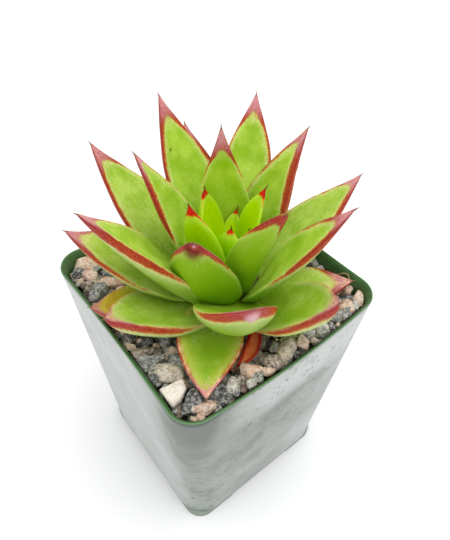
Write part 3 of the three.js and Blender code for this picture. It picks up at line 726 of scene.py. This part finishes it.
def leaf_surface(name, leaf, look, material, random):
    """One leaf as a closed smooth surface, with what its skin needs as point attributes."""
    shares = 1 - (1 - np.linspace(0, 1, LEAF["stations"])) ** LEAF["crowding"]
    vectors = leaf_frames(leaf, shares)
    middle = leaf_midline(leaf, shares)
    middle[0] -= vectors[0][0] * LEAF["root_depth"]
    section = section_points()
    side, on_top = section
    points = blade_points(name, leaf, shares, middle, vectors, section, random)
    scar_and_highlight = leaf_scars_and_highlights(name, shares, section, points)
    points -= vectors[2][:, None, :] * (BUMP_HEIGHT * np.clip(-scar_and_highlight, 0, 1))[:, :, None]
    edge = rim_distance(points)
    to_tip = (leaf["length"] * (1 - shares))[:, None]
    blush = red_depth(name, look, shares, section, edge, to_tip)
    needle = needle_rings(middle, vectors, section, random)
    past_tip = LEAF["needle"] * NEEDLE_STATIONS
    rings = np.concatenate([points, needle])

    def padded(values, ends):
        """A value for every point of the blade, and then for every ring of the needle."""
        return np.concatenate([np.broadcast_to(values, scar_and_highlight.shape),
                               np.broadcast_to(np.reshape(ends, (-1, 1)), needle.shape[:2])])

    distance = padded((shares * leaf["length"])[:, None], leaf["length"] + past_tip)
    pattern_shift = leaf["azimuth"] * 3.7  # so that each leaf has its own part of the pattern
    attributes = {
        "blush": padded(blush, look["tip_zone"] * 0.5),
        "upper": padded(on_top, 1),
        "edge": padded(edge, 0),
        "to_tip": padded(to_tip, -past_tip),
        "span": padded(shares[:, None], 1),
        "scar_and_highlight": padded(scar_and_highlight, 0),
        "age": padded(look["age"], look["age"]),
        "bloom": padded(look["bloom"], look["bloom"]),
        "blade": np.stack([distance, padded(side * leaf["half"], 0) + pattern_shift,
                           padded(on_top * 5, 0)], axis=2),
    }
    attributes = {key: values.reshape(-1, *values.shape[2:]) for key, values in attributes.items()}
    slot = "faded_leaf" if name == "leaf_faded" else "leaf"
    return add_object(name + "_skin", rings.reshape(-1, 3), ring_faces(len(rings), len(side)),
                      material, attributes, slot, (name,))


def make_leaves():
    """All the leaves, in the order of the tables."""
    fresh, faded = leaf_material(), faded_leaf_material()
    random = np.random.default_rng(SEED)
    made = []
    for name, place in LEAF_PLACE.items():
        leaf = dict(zip(PLACE_COLUMNS, place))
        look = dict(zip(LOOK_COLUMNS, LEAF_LOOK[name]))
        material = faded if name == "leaf_faded" else fresh
        made.append(leaf_surface(name, leaf, look, material, random))
    return made


# ---------------------------------------------------------------- pot and sleeve

def make_pot():
    """The pot's shell with its rounded lip, the feet, the pad and the drain holes."""
    lip_bottom = POT["height"] - POT["lip_height"]
    floor_under = POT["foot_height"]
    floor_top = floor_under + POT["floor"]
    round_by = POT["lip_round"]
    inside = BODY_INSET + POT["wall"]
    slope_foot = POT["height"] - POT["lip_slope"]
    rings = [body_outline(z, inside) for z in np.linspace(floor_top, slope_foot, POT["inside_rings"])]
    lip_highlight = [0.0] * len(rings)
    inner = rounded_square(POT["rim_side"] - 2 * POT["lip_width"],
                           POT["rim_corner"] - POT["lip_width"], POT["height"], 1)
    outer = rounded_square(POT["rim_side"], POT["rim_corner"], POT["height"], 1)
    for edge, other, angles in ((inner, outer, (0, 30, 60, 90)), (outer, inner, (90, 60, 30, 0))):
        for angle in np.radians(angles):
            ring = edge + (other - edge) * (round_by / POT["lip_width"] * (1 - math.cos(angle)))
            ring[:, 2] = POT["height"] - round_by + round_by * math.sin(angle)
            rings.append(ring)
            lip_highlight.append(1.0)
    rings.append(rounded_square(POT["rim_side"], POT["rim_corner"], lip_bottom, 1))
    lip_highlight.append(1.0)
    rings.append(body_outline(lip_bottom, BODY_INSET))
    lip_highlight.append(0.5)
    for z in np.linspace(lip_bottom - 1, floor_under, POT["outside_rings"]):
        rings.append(body_outline(z, BODY_INSET))
        lip_highlight.append(0.0)
    size = len(rings[0])
    points = np.concatenate(rings)
    attributes = {
        # lip: how strongly the painted highlight lies on the rim
        "lip": np.repeat(lip_highlight, size),
        # foot: the pale feet and lowest wall, with their painted shadow
        "foot": points[:, 2] < POT["foot_tone_top"],
        # inside: where the painted shade of the inner wall lies
        "inside": np.repeat(np.arange(len(rings)) < POT["inside_rings"] - 1, size),
    }
    pot = add_object("pot_shell", points, ring_faces(len(rings), size), pot_material(), attributes)
    cut_drains(pot)
    add_feet(pot)
    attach(pot, "root")
    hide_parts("pot")


def cut_drains(pot):
    """Cuts the four drain holes through the floor."""
    drill = bmesh.new()
    depth = POT["drain_depth"] * MM
    for quarter in range(4):
        middle = round_point(90 * quarter, POT["drain_reach"] * MM)
        place = Matrix.Translation((*middle, depth / 2))
        bmesh.ops.create_cone(drill, cap_ends=True, segments=32, radius1=POT["drain_radius"] * MM,
                              radius2=POT["drain_radius"] * MM, depth=depth, matrix=place)
    cutter = new_object("drains", bpy.data.meshes.new("drains"))
    drill.to_mesh(cutter.data)
    drill.free()
    cut = pot.modifiers.new("drains", "BOOLEAN")
    cut.operation = "DIFFERENCE"
    cut.solver = "EXACT"
    cut.object = cutter
    bpy.context.view_layer.objects.active = pot
    bpy.ops.object.modifier_apply(modifier=cut.name)
    bpy.data.objects.remove(cutter)


def foot_outline():
    """One corner foot, between the channels and the rounded corner."""
    inner = POT["channel"] / 2
    outer = POT["foot_side"] / 2
    corner = POT["foot_corner"]
    rounded = [round_point(90 * i / CORNER_POINTS, corner, outer - corner)
               for i in range(CORNER_POINTS + 1)]
    return [(inner, inner), (outer, inner), *rounded, (inner, outer)]


def add_feet(pot):
    """Joins four corner feet and the middle pad to the pot's mesh."""
    shape = bmesh.new()
    shape.from_mesh(pot.data)
    foot = shape.verts.layers.float.get("foot")
    top = (POT["foot_height"] + POT["foot_sunk"]) * MM
    circle = [round_point(10 * i, POT["pad"]) for i in range(36)]
    outlines = [(circle, 0)] + [(foot_outline(), quarter) for quarter in range(4)]
    for outline, quarter in outlines:
        turn = Matrix.Rotation(math.radians(90 * quarter), 3, "Z")
        corners = [turn @ Vector((x * MM, y * MM, 0)) for x, y in outline]
        middle = sum(corners, Vector()) / len(corners)
        rings = []
        for z, shrink in ((0, POT["foot_shrink"]), (POT["foot_bevel"] * MM, 1.0), (top, 1.0)):
            ring = [shape.verts.new(middle + (c - middle) * shrink + Vector((0, 0, z)))
                    for c in corners]
            for vertex in ring:
                vertex[foot] = 1.0
            rings.append(ring)
        shape.faces.new(list(reversed(rings[0])))
        shape.faces.new(rings[-1])
        for low, high in zip(rings, rings[1:]):
            for i, vertex in enumerate(low):
                j = (i + 1) % len(low)
                face = shape.faces.new((vertex, low[j], high[j], high[i]))
                face.smooth = True
    shape.to_mesh(pot.data)
    shape.free()
    pot.data.update()


def make_sleeve():
    """The thin printed film round the pot, with its own flat coordinates."""
    heights = np.linspace(SLEEVE["bottom"], SLEEVE["top"], SLEEVE["rings"])
    outer = [body_outline(z, 0) for z in heights]
    inner = [body_outline(z, SLEEVE["thickness"]) for z in heights[::-1]]
    size = len(outer[0])
    back = size // 2 + SIDE_POINTS  # the film's seam lies at the corner that is farthest away
    rings = [np.roll(ring, -back, axis=0) for ring in outer + inner]
    points = np.concatenate(rings)
    reference = rings[len(outer) - 1]
    step = np.linalg.norm(np.roll(reference, -1, axis=0) - reference, axis=1)
    walked = np.concatenate([[0], np.cumsum(step)[:-1]])
    wrap = np.stack([np.tile(walked, len(rings)), points[:, 2], np.zeros(len(points))], axis=1)
    attributes = {"wrap": wrap, "flecked": fleck_density(points), "shade": painted_film_shade(points)}
    add_object("sleeve_film", points, ring_faces(len(rings), size, closed_loop=True),
               sleeve_material(), attributes, "sleeve", ("sleeve",))


def fleck_density(points):
    """How thickly the flecks lie, from 0 to 1: mostly on the right side and round the front corner."""
    x, y, z = points.T
    right = smoothstep(25, 42, x)
    upper_band = np.exp(-(((y - 8 + (z - 85) * 0.2) / 26) ** 2)) * smoothstep(40, 75, z)
    low_front = np.exp(-(((y + 34) / 16) ** 2)) * smoothstep(85, 50, z)
    density = right * np.clip(0.22 + 0.6 * upper_band + 0.6 * low_front, 0, 0.85)
    left = smoothstep(-25, -42, y) * 0.1
    back = smoothstep(25, 42, y) * 0.3 + smoothstep(-25, -42, x) * 0.35
    return np.maximum.reduce([density, left, back])


def painted_film_shade(points):
    """How dark the film is: 0 is palest, 1.2 full grey, and up to 1.9 high on the front corner. The
    right face is darker than the left and lighter near its top; its far edge is lighter in a painted
    reflection, and both faces darken towards the front corner, most at its top, in painted shade.
    """
    x, y, z = points.T
    on_right = smoothstep(22, 44, x)
    on_left = smoothstep(-25, -42, y)
    # Right face: darker than the left, lighter near its top, and lighter towards its far edge in a
    # painted reflection.
    right = on_right * (0.4 + 0.25 * smoothstep(34, 6, y) + 0.35 * smoothstep(20, 60, z))
    right *= 1 - 0.75 * smoothstep(84, 112, z) * smoothstep(-42, -8, y)
    # Left face: darker towards the front corner in painted shade.
    left = on_left * (0.33 + smoothstep(10, 44, x) * (0.2 + 0.4 * smoothstep(50, 80, z)))
    # Painted shade high on the front corner.
    corner = smoothstep(28, 44, x) * on_left * smoothstep(75, 112, z)
    return np.maximum(right, left) + 0.95 * corner


# ---------------------------------------------------------------- gravel

STONE_KINDS = {  # two body colours, share of pepper grains, share of salt grains
    "pink": (srgb(236, 206, 182), srgb(206, 166, 142), 0.3, 0.34),
    "cream": (srgb(236, 226, 210), srgb(214, 202, 184), 0.24, 0.3),
    "beige": (srgb(214, 198, 176), srgb(172, 156, 136), 0.34, 0.36),
    "grey": (srgb(156, 157, 152), srgb(112, 115, 112), 0.42, 0.38),
    "granite": (srgb(212, 208, 198), srgb(164, 161, 152), 0.44, 0.42),
    "dark": (srgb(108, 110, 109), srgb(72, 74, 74), 0.44, 0.36),
    "brown": (srgb(160, 142, 124), srgb(124, 106, 90), 0.38, 0.36),
}
KIND_SHARES = {"pink": 0.27, "cream": 0.04, "beige": 0.14, "grey": 0.18, "granite": 0.14,
               "dark": 0.11, "brown": 0.12}

# Stones that lie in plain sight: kind, x, y, width, depth, and the turn of the width from the
# picture's horizontal, in degrees.
SEEN_STONES = [
    ("brown", 11, -42.5, 13, 5, 25), ("pink", 6, -46, 5, 3, 0), ("grey", 17, -41, 8.5, 5, 10),
    ("dark", 7.5, -38.5, 6, 5.5, 0), ("dark", 1.5, -44, 5.5, 6.5, 0), ("pink", 17.5, -33.5, 4, 4, 0),
    ("grey", 24, -36, 9, 7.5, -25), ("grey", 15, -46.5, 5.5, 4.5, 0), ("grey", 19.5, -43, 6, 4, 10),
    ("dark", 22, -46, 9, 4.5, -60), ("beige", 24.5, -40, 9.5, 6.5, -15),
    ("dark", 39.5, -38, 9, 8.5, 10), ("grey", 35, -34.5, 5, 6, 60), ("dark", 43, -30, 12, 8.5, 20),
    ("pink", 44.5, -37.5, 6.5, 4.5, 25), ("beige", 42.5, -40.5, 5, 4, 0),
    ("dark", 41, -43.5, 5, 4, 0),
    ("pink", 43, -16, 7, 6.5, 0), ("brown", 42, -10.5, 4, 8.5, 0), ("beige", 40.5, -4.5, 5, 6, 0),
    ("beige", 44.5, 0.5, 6.5, 10, 0), ("brown", 46.5, -7.5, 6, 7, 0), ("dark", 39, -20, 3.5, 4.5, 0),
    ("grey", 47, -15.5, 4.5, 3.5, 0), ("brown", 44, -21.5, 3, 3.5, 0), ("granite", 43, -25, 5, 5, 0),
    ("pink", 46, 8, 5.5, 7, 40), ("dark", 47.5, 2.5, 2.5, 2.5, 0), ("beige", 47.5, 12.5, 3, 4, 0),
    ("granite", 42.5, 14, 5.5, 4, 0), ("granite", 46.5, 18, 7, 5.5, 0), ("grey", 47, 23, 3.5, 3.5, 0),
    ("pink", -43.5, -38.5, 8.5, 6.5, 0), ("dark", -41, -42.5, 6.5, 5, 10),
    ("pink", -36.5, -39.5, 7, 6, 0), ("cream", -33, -39.5, 7, 3.6, -15), ("grey", -27, -39.5, 7, 5, 0),
    ("grey", -24.5, -43.5, 6, 6, 0), ("grey", -43.5, -33.5, 5, 4.5, 0), ("pink", -27.5, -33, 9, 6, 20),
    ("dark", -34, -32.5, 7, 5, 0), ("dark", -41.5, -33, 5.5, 3.5, 0), ("grey", -39.5, -35, 4, 4, 0),
    ("brown", -34, -44.5, 3.6, 3.4, 0), ("brown", -30.5, -43.5, 5, 5, 40),
    ("granite", 15.5, 44.5, 4.5, 5.5, 0), ("granite", 20, 45, 4, 6, 0),
    ("granite", 25.5, 45.5, 5, 5, 0), ("pink", 36, 45, 5, 5.5, -10), ("dark", 39.5, 41.5, 8, 8, -20),
    ("pink", 44.5, 43, 4, 7, 0), ("pink", 35.5, 38, 3.5, 5, 0), ("granite", 39.5, 36, 3, 3, 0),
    ("pink", 43.5, 35.5, 6.5, 5.5, 0), ("granite", 45.5, 39, 3.5, 3.5, 0),
    ("grey", 46.5, 34.5, 4.5, 4.5, 0), ("granite", 45.5, 30.5, 5, 3.5, 0), ("grey", 43, 27.5, 5.5, 4, 0),
    ("dark", 41.5, 22.5, 4, 3.5, 0), ("pink", 47, -11.2, 4.2, 4, 0), ("beige", 47.2, -3.2, 3.4, 3.4, 0),
    ("granite", 47, -19.5, 3.6, 4, 0),
]
# Factor on their size, since their rims are hidden, farthest tilt, and width that needs a finer mesh.
SEEN_LAYING = {"size": 1.12, "tilt": 14, "fine_above": 6.5}
CREAM_CHIP = {
    "corners": [(29.4, -46.9), (37.6, -46.9), (37.2, -43), (35, -39), (31.4, -37.8)],
    "height": 122.4, "thickness": 4, "tilt": (8, 6), "radius": 4.6,
}
STONE = {
    "planes": 9, "nearest": 0.52, "farthest": 0.86,  # the planes that cut a ball of radius 1
    "sharpness": 60, "longest": 1.15, "size": 1.08, "grain": 2.6, "roughness": 0.075,
}
# The stones that are strewn by chance: how far from the middle, their form and tilt, the share of their
# radius that keeps off the wall, and how far the wall may move one before it is left out.
SCATTER = {
    "reach": 48, "stretch": (1.0, 1.5), "flatness": (0.6, 0.95), "tilt": 25,
    "wall_gap": 0.95, "farthest_move": 2.5,
}
PICTURE_TURN = CAMERA["azimuth"]  # the picture's horizontal runs along this direction on the ground


def gravel_level(x, y):
    """Level of the gravel, which rises towards the front corner and the two beside it."""
    front = GRAVEL["front_rise"] * max(0.0, (x - y) / POT["rim_side"])
    side = GRAVEL["side_rise"] * abs(x + y) / POT["rim_side"]
    wall = GRAVEL["wall_rise"] * smoothstep(36, 46, x) * smoothstep(-44, -30, y)
    return GRAVEL["level"] + front + side + float(wall)


def unit_ball(subdivisions):
    """The points and triangles of a ball of radius 1."""
    ball = bmesh.new()
    bmesh.ops.create_icosphere(ball, subdivisions=subdivisions, radius=1)
    points = np.array([v.co[:] for v in ball.verts])
    faces = np.array([[v.index for v in f.verts] for f in ball.faces])
    ball.free()
    return points, faces


BALLS = {level: unit_ball(level) for level in (2, 3, 4)}


def stone_shape(random, size, level):
    """A chip of stone: a ball cut by random planes, with hardly worn edges and a rough skin."""
    directions, faces = BALLS[level]
    normals = random.normal(size=(STONE["planes"], 3))
    normals /= np.linalg.norm(normals, axis=1, keepdims=True)
    offsets = random.uniform(STONE["nearest"], STONE["farthest"], STONE["planes"])
    cuts = np.clip(directions @ normals.T / offsets, 0, None)
    sharp = STONE["sharpness"]
    reach = (np.sum(cuts**sharp, axis=1) + 0.4**sharp) ** (-1 / sharp)
    points = directions * np.minimum(reach, STONE["longest"])[:, None] * STONE["size"]
    origin = Vector(random.uniform(-50, 50, 3))
    rough = np.array([noise.fractal(Vector(p) * STONE["grain"] + origin, 0.8, 2.1, 4) for p in points])
    points = points * (1 + STONE["roughness"] * rough)[:, None]
    return points * np.array(size) / 2, faces


def slab_shape(corners, thickness, level):
    """A flat chip with the given corners round the origin, and blunt edges."""
    directions, faces = BALLS[level]
    angles = np.arctan2(directions[:, 1], directions[:, 0])
    reach = np.full(len(directions), 1e3)
    for (x0, y0), (x1, y1) in zip(corners, np.roll(corners, -1, axis=0)):
        facing = math.atan2(x0 - x1, y1 - y0)  # the way out, square to this edge
        offset = x0 * math.cos(facing) + y0 * math.sin(facing)
        slant = np.cos(angles - facing)
        reach = np.where(slant > 1e-3, np.minimum(reach, offset / np.maximum(slant, 1e-3)), reach)
    flat = np.hypot(directions[:, 0], directions[:, 1])
    swell = (flat**9 + np.abs(directions[:, 2]) ** 9) ** (-1 / 9)
    rough = np.array([noise.fractal(Vector(d) * STONE["grain"], 0.7, 2.1, 3) for d in directions])
    swell = swell * (1 + 0.04 * rough)
    points = np.stack([np.cos(angles) * flat * reach, np.sin(angles) * flat * reach,
                       directions[:, 2] * thickness / 2], axis=1)
    return points * swell[:, None], faces


class StoneHeap:
    """Collects stones of one kind into one mesh."""

    def __init__(self, kind):
        self.kind = kind
        self.points = []
        self.faces = []
        self.values = {key: [] for key in ("first", "second", "pepper", "salt", "shift")}
        self.total = 0

    def put(self, random, shape, place, turn, tilt):
        """Adds a stone at a place, in the kind's colours with a little chance in them."""
        points, faces = shape
        turned = np.array(Euler((math.radians(tilt[0]), math.radians(tilt[1]), math.radians(turn)))
                          .to_matrix())
        points = keep_inside(points @ turned.T + np.array(place))
        self.faces.append(faces + self.total)
        self.points.append(points)
        count = len(points)
        self.total += count
        first, second, pepper, salt = STONE_KINDS[self.kind]
        shade = random.uniform(0.85, 1.12)
        tint = np.array([random.uniform(0.96, 1.04), 1, random.uniform(0.94, 1.04), 1])
        for key, colour in (("first", first), ("second", second)):
            tinted = np.clip(np.array(colour) * shade * tint, 0, 0.9)
            tinted[3] = 1
            self.values[key].append(np.tile(tinted, (count, 1)))
        self.values["pepper"].append(np.full(count, pepper + random.uniform(-0.05, 0.05)))
        self.values["salt"].append(np.full(count, salt + random.uniform(-0.05, 0.05)))
        self.values["shift"].append(np.tile(random.uniform(0, 300, 3), (count, 1)))

    def finish(self, material):
        """Makes one piece of all the stones in the heap."""
        attributes = {key: np.concatenate(parts) for key, parts in self.values.items()}
        add_object("gravel_" + self.kind, np.concatenate(self.points),
                   np.concatenate(self.faces).tolist(), material, attributes, "gravel",
                   ("gravel",))


def leaf_ceiling(leaves):
    """The height of the lowest leaf over each square millimetre of the pot's mouth."""
    side = 2 * MAP_REACH
    ceiling = np.full((side, side), 1e3)
    for leaf in leaves:
        points = np.empty(len(leaf.data.vertices) * 3)
        leaf.data.vertices.foreach_get("co", points)
        points = points.reshape(-1, 3) / MM
        low = points[points[:, 2] < MAP_TOP]
        cells = np.round(low[:, :2] + MAP_REACH).astype(int)
        inside = ((cells >= 0) & (cells < side)).all(axis=1)
        column, row = cells[inside].T
        np.minimum.at(ceiling, (column, row), low[inside, 2])
    return ceiling


def room_above(ceiling, x, y, reach):
    """The lowest leaf height within reach of a place."""
    left, low = max(int(x - reach + MAP_REACH), 0), max(int(y - reach + MAP_REACH), 0)
    right, high = int(x + reach + MAP_REACH + 1), int(y + reach + MAP_REACH + 1)
    return ceiling[left:right, low:high].min()


def keep_inside(points, reach=0.0):
    """Moves points in from the pot's wall until each is at least reach away from it."""
    limit = GRAVEL["half_side"] - reach
    rounding = GRAVEL["corner"] - reach
    square = GRAVEL["half_side"] - GRAVEL["corner"]
    right, back, left, front = POT["bows"]
    kept = points.astype(float)
    for axis, (low_bow, high_bow) in ((0, (left, right)), (1, (front, back))):
        bulge = 1 - np.clip(points[:, 1 - axis] / square, -1, 1) ** 2
        kept[:, axis] = np.clip(kept[:, axis], -limit - low_bow * bulge, limit + high_bow * bulge)
    out = np.maximum(np.abs(kept[:, :2]) - square, 0)
    far = np.maximum(np.hypot(out[:, 0], out[:, 1]), 1e-6)
    in_corner = (out.min(axis=1) > 0) & (far > rounding)
    share = np.where(in_corner, max(rounding, 0) / far, 1)
    kept[:, :2] -= np.sign(kept[:, :2]) * out * (1 - share)[:, None]
    return kept


def make_gravel(leaves):
    """Stones in plain sight at their places, smaller ones between them, and a lower layer."""
    random = np.random.default_rng(SEED + 1)
    material = stone_material()
    heaps = {kind: StoneHeap(kind) for kind in STONE_KINDS}
    ceiling = leaf_ceiling(leaves)
    taken = []

    def put(kind, x, y, size, turn, tilt, level, sunk=0.0):
        reach = max(size[:2]) / 2
        top = gravel_level(x, y) + LAYING["raised"] * size[2] - sunk
        leaf = room_above(ceiling, x, y, reach * LAYING["leaf_reach"])
        z = min(top, leaf - LAYING["below_leaf"] * size[2] - LAYING["leaf_gap"])
        if top - z < LAYING["deepest"]:
            heaps[kind].put(random, stone_shape(random, size, level), (x, y, z), turn, tilt)

    for kind, x, y, width, depth, turn in SEEN_STONES:
        x, y = keep_inside(np.array([(x, y)]), min(width, depth) / 2)[0]
        height = 0.75 * min(width, depth) + 0.8
        tilt = random.uniform(-SEEN_LAYING["tilt"], SEEN_LAYING["tilt"], 2)
        level = 4 if width > SEEN_LAYING["fine_above"] else 3
        size = (width * SEEN_LAYING["size"], depth * SEEN_LAYING["size"], height)
        put(kind, x, y, size, PICTURE_TURN + turn, tilt, level)
        taken.append((x, y, (width + depth) / 4))

    corners = np.array(CREAM_CHIP["corners"])
    middle = corners.mean(axis=0)
    chip = slab_shape(corners - middle, CREAM_CHIP["thickness"], 4)
    heaps["cream"].put(random, chip, (*middle, CREAM_CHIP["height"]), 0, CREAM_CHIP["tilt"])
    taken.append((*middle, CREAM_CHIP["radius"]))

    kinds = list(KIND_SHARES)
    shares = np.array(list(KIND_SHARES.values()))

    def scatter(tries, crowding, sunk, level, radii, blocked):
        """Tries random places, and keeps those where a stone doesn't crowd the blocked ones."""
        for _ in range(tries):
            radius = radii[0] + (radii[1] - radii[0]) * random.random() ** 1.6
            tried = random.uniform(-SCATTER["reach"], SCATTER["reach"], 2)
            kind = kinds[random.choice(len(kinds), p=shares / shares.sum())]
            stretch = random.uniform(*SCATTER["stretch"])
            flat = random.uniform(*SCATTER["flatness"])
            turn = random.uniform(0, 360)
            tilt = random.uniform(-SCATTER["tilt"], SCATTER["tilt"], 2)
            x, y = keep_inside(tried[None, :], radius * SCATTER["wall_gap"])[0]
            if math.dist((x, y), tried) > SCATTER["farthest_move"]:
                continue
            if math.hypot(x - STEM["x"], y - STEM["y"]) < GRAVEL["stem_clearance"]:
                continue
            if any(math.hypot(x - px, y - py) < crowding * (radius + pr) for px, py, pr in blocked):
                continue
            blocked.append((x, y, radius))
            size = (2 * radius * stretch, 2 * radius, 2 * radius * flat)
            put(kind, x, y, size, turn, tilt, level, sunk)

    scatter(1500, crowding=0.92, sunk=0.3, level=3, radii=(2.2, 4.6), blocked=taken)
    scatter(3500, crowding=0.74, sunk=0.9, level=2, radii=(1.1, 2.4), blocked=taken)
    scatter(1500, crowding=0.85, sunk=GRAVEL["lower_layer"], level=2, radii=(2.6, 4.4), blocked=[])
    for heap in heaps.values():
        if heap.total:
            heap.finish(material)


def make_bed():
    """The dark grit between and under the stones: a block whose top follows the gravel's level."""
    inset = BODY_INSET + POT["wall"] + GRAVEL["bed_gap"]
    low = body_outline(GRAVEL["bottom"], inset)
    high = body_outline(GRAVEL["level"] - GRAVEL["bed_depth"], inset)
    shares = np.linspace(0.94, 0.02, GRAVEL["bed_rings"])
    rings = [low, high] + [high * (share, share, 1) for share in shares]
    points = np.concatenate(rings)
    for point in points[len(low):]:
        x, y, _ = point
        rough = GRAVEL["bed_roughness"] * noise.fractal(Vector((x, y, 3)) * 0.5, 0.8, 2, 3)
        point[2] = gravel_level(x, y) - GRAVEL["bed_depth"] + rough
    add_object("gravel_bed", points, ring_faces(len(rings), len(low)),
               crumb_material("grit", (24, 20, 17), (62, 53, 45), 1.1),
               slot="gravel", replaced=("gravel",))


# ---------------------------------------------------------------- small things on the gravel

MOSS = {"place": (41.5, 5.5, 121.8), "spread": (1.9, 2.6, 0.9), "lumps": 90, "sizes": (0.35, 0.95)}
FIBRE = {
    "route": [(28, 44.5, 120.5), (30.3, 46.4, 124), (32.5, 47.2, 125), (34.6, 46.8, 124.2),
              (36, 45.4, 121)],
    "radius": 0.25,
}


def make_moss():
    """A crumb of dry moss: many small lumps heaped on the stones."""
    random = np.random.default_rng(SEED + 2)
    directions, faces = BALLS[2]
    points, index, total = [], [], 0
    for _ in range(MOSS["lumps"]):
        place = np.array(MOSS["place"]) + random.normal(size=3) * MOSS["spread"]
        size = random.uniform(*MOSS["sizes"])
        lump = directions * size * (1 + 0.1 * random.normal(size=(len(directions), 1)))
        points.append(lump * random.uniform(0.6, 1.3, 3) + place)
        index.append(faces + total)
        total += len(lump)
    add_object("moss_crumb", np.concatenate(points), np.concatenate(index).tolist(),
               crumb_material("moss", (98, 104, 52), (190, 192, 136), 0.8), slot="gravel")


def make_fibre():
    """A thin dry root fibre that lies in a loop over the stones at the right corner."""
    curve = bpy.data.curves.new("root_fibre", "CURVE")
    curve.dimensions = "3D"
    curve.bevel_depth = FIBRE["radius"] * MM
    curve.bevel_resolution = 3
    curve.resolution_u = 16
    spline = curve.splines.new("NURBS")
    spline.points.add(len(FIBRE["route"]) - 1)
    for point, place in zip(spline.points, FIBRE["route"]):
        point.co = (*(Vector(place) * MM), 1)
    spline.use_endpoint_u = True
    spline.order_u = 4
    fibre = new_object("root_fibre", curve)
    curve.materials.append(crumb_material("fibre", (120, 96, 60), (196, 170, 118), 0.8))
    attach(fibre, "root")


# ---------------------------------------------------------------- stage

FLOOR_REACH = 3  # metres, like the lamps' places and sizes
LAMPS = [("top", (0.3, 0.25, 1.4), 0.9, 7), ("front", (-0.1, -0.7, 1.3), 1.0, 2.5)]
LAMP_AIM = (0, 0, 0.12)
SKY_STRENGTH = 1.1


def make_stage():
    """A flat floor under the pot."""
    floor = new_object("floor", bpy.data.meshes.new("floor"))
    corners = [(x * FLOOR_REACH, y * FLOOR_REACH, 0) for x, y in ((-1, -1), (1, -1), (1, 1), (-1, 1))]
    floor.data.from_pydata(corners, [], [(0, 1, 2, 3)])
    floor.data.materials.append(floor_material())


def add_lamp(name, place, size, power):
    """A round lamp that shines at the plant."""
    lamp = bpy.data.lights.new(name, "AREA")
    lamp.shape = "DISK"
    lamp.size = size
    lamp.energy = power
    holder = new_object(name, lamp)
    holder.location = place
    aim = Vector(LAMP_AIM) - Vector(place)
    holder.rotation_euler = aim.to_track_quat("-Z", "Y").to_euler()


def make_light():
    """White light from all round, and the lamps."""
    world = bpy.data.worlds.new("studio")
    world.use_nodes = True
    world.node_tree.nodes["Background"].inputs["Color"].default_value = (1, 1, 1, 1)
    world.node_tree.nodes["Background"].inputs["Strength"].default_value = SKY_STRENGTH
    bpy.context.scene.world = world
    for lamp in LAMPS:
        add_lamp(*lamp)


def make_camera():
    """The camera that took the photo, as it was solved from the rim, the feet and the leaf tips."""
    data = bpy.data.cameras.new("camera")
    data.sensor_fit = "AUTO"
    data.sensor_width = SENSOR
    data.lens = FOCAL_PIXELS / IMAGE_HEIGHT * SENSOR
    data.clip_start = 0.01
    camera = new_object("camera", data)
    azimuth = math.radians(CAMERA["azimuth"])
    elevation = math.radians(CAMERA["elevation"])
    forward = Vector((-math.sin(azimuth) * math.cos(elevation),
                      math.cos(azimuth) * math.cos(elevation), -math.sin(elevation)))
    camera.location = (Vector(CAMERA["target"]) - forward * CAMERA["distance"]) * MM
    roll = Quaternion((0, 0, 1), math.radians(CAMERA["roll"]))
    camera.rotation_mode = "QUATERNION"
    camera.rotation_quaternion = forward.to_track_quat("-Z", "Y") @ roll
    bpy.context.scene.camera = camera


def finish_hidden_nodes():
    """Materials for the frame's own soil and stem, which stay."""
    soil = crumb_material("potting_soil", (30, 23, 17), (72, 56, 42), 1.6)
    stem = crumb_material("stem_bark", (92, 96, 52), (134, 132, 84), 1.2)
    for name, material in (("soil", soil), ("stem", stem)):
        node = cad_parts[name]
        node.data.materials.clear()
        node.data.materials.append(material)


bpy.context.scene.view_settings.view_transform = "Standard"
make_camera()
make_light()
make_stage()
leaves = make_leaves()
make_pot()
make_sleeve()
make_gravel(leaves)
make_bed()
make_moss()
make_fibre()
finish_hidden_nodes()
